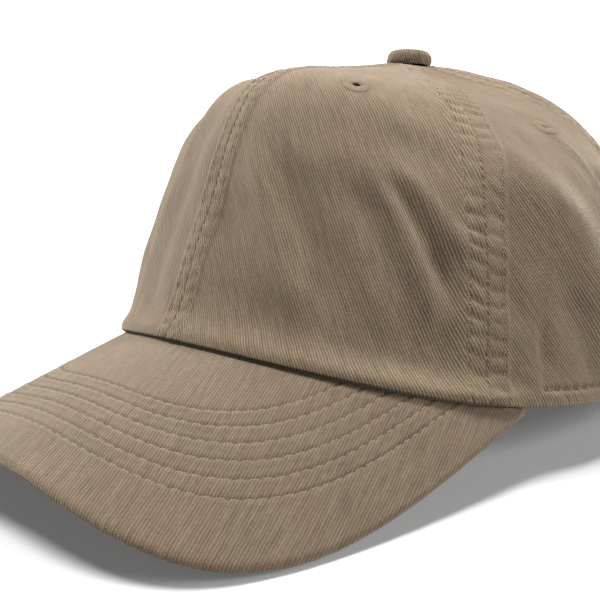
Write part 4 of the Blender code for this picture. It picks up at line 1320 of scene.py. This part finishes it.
def on_closure(along, out, up, side=1.0):
    """A point of the closure, and the way out of its outer (1) or inner (-1) face."""
    point = closure_at(along, out, up)
    return point, side * unit(closure_at(along, out + 0.001, up) - point)


def capped(faces, rings, count, way):
    """A tube's faces with its two open ends closed; way says which way round they run."""
    first = list(range(count))[::way]
    last = list(range((rings - 1) * count, rings * count))[::-way]
    return faces.tolist() + [first, last]


def make_strap(look, trim):
    """A folded cloth strap with soft edges, a rounded tail and topstitching near its edges."""
    tail = STRAP_TAIL_END + STRAP_TAIL * np.linspace(0.0, 1.0, 15) ** 1.6
    rest = np.linspace(STRAP_TAIL_END + STRAP_TAIL + 0.0006, STRAP_SEWN_END, 190)
    along = np.concatenate([tail, rest])[:, None]
    from_tail = np.clip((along - STRAP_TAIL_END) / STRAP_TAIL, 0.0, 1.0)
    taper = (1.0 - (1.0 - from_tail) ** 2.4) ** (1.0 / 2.4)
    half_width = 0.5 * STRAP_WIDTH - 0.004 + 0.004 * taper
    half_depth = 0.5 * STRAP_THICKNESS * (0.35 + 0.65 * ease(from_tail, 0.0, 0.2))
    turn = np.linspace(0.0, FULL_TURN, 96, endpoint=False)
    side = signed_power(np.cos(turn), 2.0 / 2.6)
    face = signed_power(np.sin(turn), 2.0 / 8.0)
    up = 0.5 * STRAP_WIDTH + half_width * side
    relief = strap_relief(along, up)
    points = closure_at(along, half_depth * face - 0.5 * STRAP_THICKNESS + relief * face, up)
    # Painted shade in the stitch rows and painted light where the face swells, from the relief,
    # plus paler rubbed edges.
    wear_and_painted_shading = 0.5 + relief / 0.0006 + 0.3 * ease(np.abs(side), 0.9, 1.0)
    faces = capped(grid_faces(*points.shape[:2], closed=True, flip=True), len(along), len(turn), 1)
    piece = add_piece("strap_cloth", points, faces, look, (along, up + 0.03 * (face < 0.0)),
                      np.clip(wear_and_painted_shading, 0.0, 1.0))
    hand_over(piece, "strap", "twill", "strap")
    starts = np.arange(STRAP_TAIL_END + 0.0035, STRAP_SEWN_END - 0.003, STITCH_PITCH)
    rows = []
    for number, row in enumerate((STRAP_ROW, STRAP_WIDTH - STRAP_ROW)):
        for side in (1.0, -1.0):
            def route(place, row=row, side=side):
                out = side * strap_relief(place, row) - 0.5 * STRAP_THICKNESS * (1.0 - side)
                return on_closure(place, out, row, side)
            rows.append((route, starts, STITCH_LENGTH, 600 + 2 * number + int(side)))
    stitching("strap_topstitching", rows, trim, body="strap")


def pairs(along, out):
    return np.stack(np.broadcast_arrays(along, out), -1)


def arc(centre, radius, start, end, steps):
    """Points (along, out) round a centre, from one direction to another in degrees."""
    turn = np.radians(np.linspace(start, end, steps))
    return np.array(centre) + radius * pairs(np.cos(turn), np.sin(turn))


def rounded_outline(low, high, radius, steps=7):
    """A rounded rectangle's outline, from (along, out) to (along, out)."""
    (near, inner), (far, outer) = np.array(low) + radius, np.array(high) - radius
    corners = ((far, inner), (far, outer), (near, outer), (near, inner))
    return np.concatenate([arc(corner, radius, start, start + 90.0, steps)
                           for corner, start in zip(corners, (-90.0, 0.0, 90.0, 180.0))])


def circle_outline(centre, radius, steps=48):
    return arc(centre, radius, 0.0, 360.0, steps + 1)[:-1]


def hole_outline(outline, place, radius):
    """A round hole, with one point for each point of the outline about it."""
    return np.array(place) + radius * unit(outline - np.array(place))


def outline_normals(outline):
    forward = np.roll(outline, -1, axis=0) - np.roll(outline, 1, axis=0)
    return unit(pairs(forward[:, 1], -forward[:, 0]))


def extruded(outline, up, bevel, hole=None, stations=2):
    """Points, faces and UVs of an outline drawn across the strap, with rounded rims."""
    bend = np.linspace(0.0, math.pi / 2.0, 4)
    rising = bevel * (1.0 - np.cos(bend))
    falling = bevel * (1.0 - np.sin(bend))
    inset = np.concatenate([falling, np.zeros(stations - 1), rising])
    between = np.linspace(up[0] + bevel, up[1] - bevel, stations + 1)[1:-1]
    height = np.concatenate([up[0] + rising, between, up[1] - falling])
    rings = outline - inset[:, None, None] * outline_normals(outline)
    if hole is not None:
        rings = np.concatenate([rings, hole[None], hole[None], rings[:1]])
        height = np.concatenate([height, up[::-1], height[:1]])
    levels = np.repeat(height[:, None], len(outline), axis=1)
    faces = grid_faces(*levels.shape, closed=True)
    faces = capped(faces, *levels.shape, -1) if hole is None else faces.tolist()
    points = closure_at(rings[..., 0], rings[..., 1], levels)
    uv = np.stack([rings[..., 0] + rings[..., 1], levels], -1)
    return points.reshape(-1, 3), faces, uv.reshape(-1, 2)


def closure_piece(name, parts, look, slot, node, body="cap"):
    """Several meshes of the closure as one piece with crisp rims."""
    faces, base = [], 0
    for points, part_faces, _ in parts:
        faces += [[index + base for index in face] for face in part_faces]
        base += len(points)
    points = np.concatenate([part[0] for part in parts])
    uv = np.concatenate([part[2] for part in parts])
    piece = add_piece(name, points, faces, look, uv.T)
    piece.modifiers.new("edges", "EDGE_SPLIT").split_angle = math.radians(50.0)
    hand_over(piece, body, slot, node)


def make_buckle(brass, cloth, trim):
    """Frame, hinge pin, clamping lever and the cloth loop that holds the buckle."""
    under = -STRAP_THICKNESS - GAP
    first, last = BUCKLE_ENDS
    low = -SIDE_SLACK - BUCKLE_WALL
    high = STRAP_WIDTH + SIDE_SLACK + BUCKLE_WALL
    ear = rounded_outline((first, under - BUCKLE_PLATE - BUCKLE_STEP),
                          (last, BUCKLE_EAR_TOP), 0.0016)
    plate = rounded_outline((first + BUCKLE_STEP, under - BUCKLE_PLATE),
                            (last - BUCKLE_STEP, under), 0.0003, 4)
    bar = circle_outline(BAR_PLACE, BAR_RADIUS)
    pin = circle_outline(PIN_PLACE, PIN_RADIUS)
    closure_piece("buckle_frame_brass", [
        extruded(ear, (low, low + BUCKLE_WALL), 0.00035),
        extruded(ear, (high - BUCKLE_WALL, high), 0.00035),
        extruded(dense_outline(plate), (low + BUCKLE_STEP, high - BUCKLE_STEP), 0.0002),
        extruded(bar, (low + 0.0004, high - 0.0004), 0.0001),
    ], brass, "brass", "buckle_frame")
    closure_piece("buckle_pin_brass", [extruded(pin, (low - PIN_HEAD, high + PIN_HEAD), 0.0003)],
                  brass, "brass", "buckle_pin")
    make_lever(brass)
    make_loop(cloth, trim)


def dense_outline(outline, step=0.0012):
    """The outline with points added on its long edges, so that it bends with the closure."""
    line = []
    for here, after in zip(outline, np.roll(outline, -1, axis=0)):
        count = max(1, int(np.linalg.norm(after - here) / step))
        line += [here + (after - here) * number / count for number in range(count)]
    return np.array(line)


def make_lever(brass):
    """A plate with a rounded thumb edge, rolled round the pin at its other end."""
    tip = LEVER_END + LEVER_TIP, 0.5 * (LEVER_OUT[0] + LEVER_OUT[1]) + 0.00035
    outline = np.concatenate([
        arc(PIN_PLACE, KNUCKLE_RADIUS, -200.0, 128.0, 40),
        pairs((-0.0125, -0.016, -0.020, -0.0235), LEVER_OUT[1]),
        arc(tip, LEVER_TIP, 90.0, 270.0, 11),
        pairs((-0.0235, -0.020, -0.016, -0.0128), LEVER_OUT[0]),
    ])
    hole = hole_outline(outline, PIN_PLACE, PIN_RADIUS + GAP)
    lever = extruded(outline, (LEVER_SLACK, STRAP_WIDTH - LEVER_SLACK), 0.00022, hole)
    closure_piece("buckle_lever_brass", [lever], brass, "brass", "buckle_lever", body="lever")


def make_loop(cloth, trim):
    """Two plies sewn flat behind the bar and open round it."""
    rim = BAR_RADIUS + GAP + LOOP_PLY + 0.0002
    low = BAR_PLACE[1] - rim
    high = low + 2.0 * LOOP_PLY
    joint = BAR_PLACE[0] - 0.0052
    bend = arc(BAR_PLACE, rim, -90.0, 128.0, 40)
    along, out = bend[-1]
    fall = np.linspace(0.0, 1.0, 9)[1:]
    outline = np.concatenate([
        pairs(np.linspace(LOOP_END, BAR_PLACE[0], 24)[:-1], low),
        bend,
        pairs(along + (joint - along) * fall, out + (high - out) * ease(fall, 0.0, 1.0)),
        pairs(np.linspace(joint, LOOP_END, 20)[1:], high),
    ])
    hole = hole_outline(outline, BAR_PLACE, BAR_RADIUS + GAP)
    ends = LOOP_SLACK, STRAP_WIDTH - LOOP_SLACK
    loop = extruded(outline, ends, 0.0003, hole, stations=12)
    closure_piece("buckle_loop_cloth", [loop], cloth, "twill", "buckle_loop")
    starts = np.arange(0.0016, STRAP_WIDTH - 0.0040, 0.0029)
    rows = [(lambda up, row=row: on_closure(row, high, up), starts, 0.0023, 640 + number)
            for number, row in enumerate((joint - 0.0012, LOOP_END + 0.0030))]
    stitching("buckle_loop_stitching", rows, trim)


# ---------------------------------------------------------------- stage, lights and camera
def make_stage():
    """A pale floor that curves up all round into a low, softly glowing wall; the floor glows too,
    faintly near the cap, a painted light that lightens the shadows on it, and more towards the
    wall.
    """
    n = Nodes("stage_paper")
    place = n.add("ShaderNodeNewGeometry").outputs["Position"]
    distance = n.add("ShaderNodeVectorMath", {0: place}, operation="LENGTH").outputs["Value"]
    glow = n.add("ShaderNodeMapRange", {"Value": distance, "From Min": 0.5, "From Max": 4.0,
                                        "To Min": 0.10, "To Max": 0.80}).outputs[0]
    look = n.finish(Base_Color=(0.33, 0.33, 0.33, 1.0), Roughness=0.95, Specular_IOR_Level=0.1,
                    Emission_Color=(1.0, 1.0, 1.0, 1.0), Emission_Strength=glow)
    bend = np.linspace(0.0, math.pi / 2.0, 16)
    radius = np.concatenate([[0.01, 0.5, 1.0, 2.0, 3.5], 5.0 + 0.8 * np.sin(bend), [5.8]])
    height = np.concatenate([np.zeros(5), 0.8 - 0.8 * np.cos(bend), [1.8]])
    turn = np.arange(96) * FULL_TURN / 96
    radius, height, turn = np.broadcast_arrays(radius[:, None], height[:, None], turn)
    points = np.stack([radius * np.cos(turn), radius * np.sin(turn), height], -1)
    faces = [list(range(96))] + grid_faces(*height.shape, closed=True).tolist()
    mesh = bpy.data.meshes.new("stage")
    mesh.from_pydata(points.reshape(-1, 3).tolist(), [], faces)
    mesh.shade_smooth()
    mesh.materials.append(look)
    stage = bpy.data.objects.new("stage", mesh)
    bpy.context.scene.collection.objects.link(stage)


def make_lights():
    """Faint light from all round, a strong soft sun from above and weaker ones on both sides."""
    world = bpy.data.worlds.new("studio")
    world.use_nodes = True
    background = world.node_tree.nodes["Background"]
    background.inputs["Color"].default_value = (1.0, 1.0, 1.0, 1.0)
    background.inputs["Strength"].default_value = 0.10
    bpy.context.scene.world = world
    lights = (
        ("main_light", 7.7, 20.0, (-0.25, -0.22, 0.94)),
        ("side_light", 3.9, 30.0, (0.84, 0.36, 0.44)),
        ("rim_light", 3.0, 30.0, (-0.86, 0.10, 0.48)),
    )
    for name, energy, width, direction in lights:
        data = bpy.data.lights.new(name, "SUN")
        data.energy = energy
        data.angle = math.radians(width)
        light = bpy.data.objects.new(name, data)
        light.rotation_euler = Vector(direction).to_track_quat("Z", "Y").to_euler()
        bpy.context.scene.collection.objects.link(light)


def make_camera():
    """The camera, worked out in the sewing frame and stood up with the cap."""
    level = Vector((math.cos(CAMERA_AZIMUTH), math.sin(CAMERA_AZIMUTH), 0.0))
    ahead = Vector((level.y, -level.x, 0.0)) * math.cos(CAMERA_ELEVATION)
    back = ahead + Vector((0.0, 0.0, math.sin(CAMERA_ELEVATION)))
    up = back.cross(level)
    right = math.cos(CAMERA_ROLL) * level + math.sin(CAMERA_ROLL) * up
    upright = math.cos(CAMERA_ROLL) * up - math.sin(CAMERA_ROLL) * level
    turn = Matrix((right, upright, back)).transposed().to_4x4()
    place = Vector(CAMERA_TARGET) + back * CAMERA_DISTANCE
    data = bpy.data.cameras.new("camera")
    data.lens = CAMERA_LENS
    data.sensor_width = 36.0
    data.clip_start = 0.01
    camera = bpy.data.objects.new("camera", data)
    camera.matrix_world = STAND @ Matrix.Translation(place) @ turn
    bpy.context.scene.collection.objects.link(camera)
    bpy.context.scene.camera = camera


# ---------------------------------------------------------------- build
def make_inside_and_closure(cloth, sewing_thread):
    """Everything but the crown's panels, the bill's covers and their stitching."""
    satin = embroidery("eyelet_embroidery")
    steel = metal("plated_steel", (0.56, 0.55, 0.53), (0.30, 0.29, 0.27), 900.0, 0.28, 0.5)
    brass = metal("antique_brass", (0.52, 0.37, 0.17), (0.20, 0.14, 0.07), 1100.0, 0.26, 0.85)
    tape = woven("lining_tape", (0.40, 0.32, 0.23), (0.20, 0.155, 0.105), 0.0006, herringbone=0.004)
    band = woven("sweatband_cotton", (0.42, 0.34, 0.245), (0.24, 0.19, 0.13), 0.00055, 0.2)
    label = woven("label_weave", (0.78, 0.77, 0.72), (0.60, 0.585, 0.54), 0.00042, 0.2)
    for name, first, last in panel_names():
        make_eyelet(name, 0.5 * (first + last), satin)
    make_button(cloth, steel)
    for seam, name in tape_names().items():
        make_tape(seam, name, tape)
    make_tape_stitching(sewing_thread)
    make_sweatband(band, sewing_thread)
    make_care_label(label, thread("label_thread", 1.6))
    make_binding(tape, sewing_thread)
    make_strap(cloth, sewing_thread)
    make_buckle(brass, cloth, sewing_thread)
    make_board(moulded("board_plastic", (0.62, 0.61, 0.57)))


def build():
    bpy.context.scene.view_settings.view_transform = "Standard"
    crown_twill = twill("crown_twill", 31.0, 0.00083, 0.58, tone=0.84)
    # The bill's copy of the twill takes a lower tone than the crown's: a painted shade that offsets
    # the strong light from above on the bill.
    bill_twill = twill("bill_twill", 24.0, 0.00088, 0.36, tone=0.73)
    sewing_thread = thread("sewing_thread")
    for name, first, last in panel_names():
        make_panel(name, first, last, crown_twill)
    make_crown_stitching(sewing_thread)
    make_hem_stitching(sewing_thread)
    make_bill_cover("bill_top_cloth", "bill_top_cover", bill_twill, under=False)
    make_bill_cover("bill_under_cloth", "bill_under_cover", bill_twill, under=True)
    make_bill_stitching("bill_topstitching", sewing_thread, under=False)
    make_bill_stitching("bill_under_stitching", sewing_thread, under=True)
    make_inside_and_closure(crown_twill, sewing_thread)
    make_stage()
    make_lights()
    make_camera()


build()
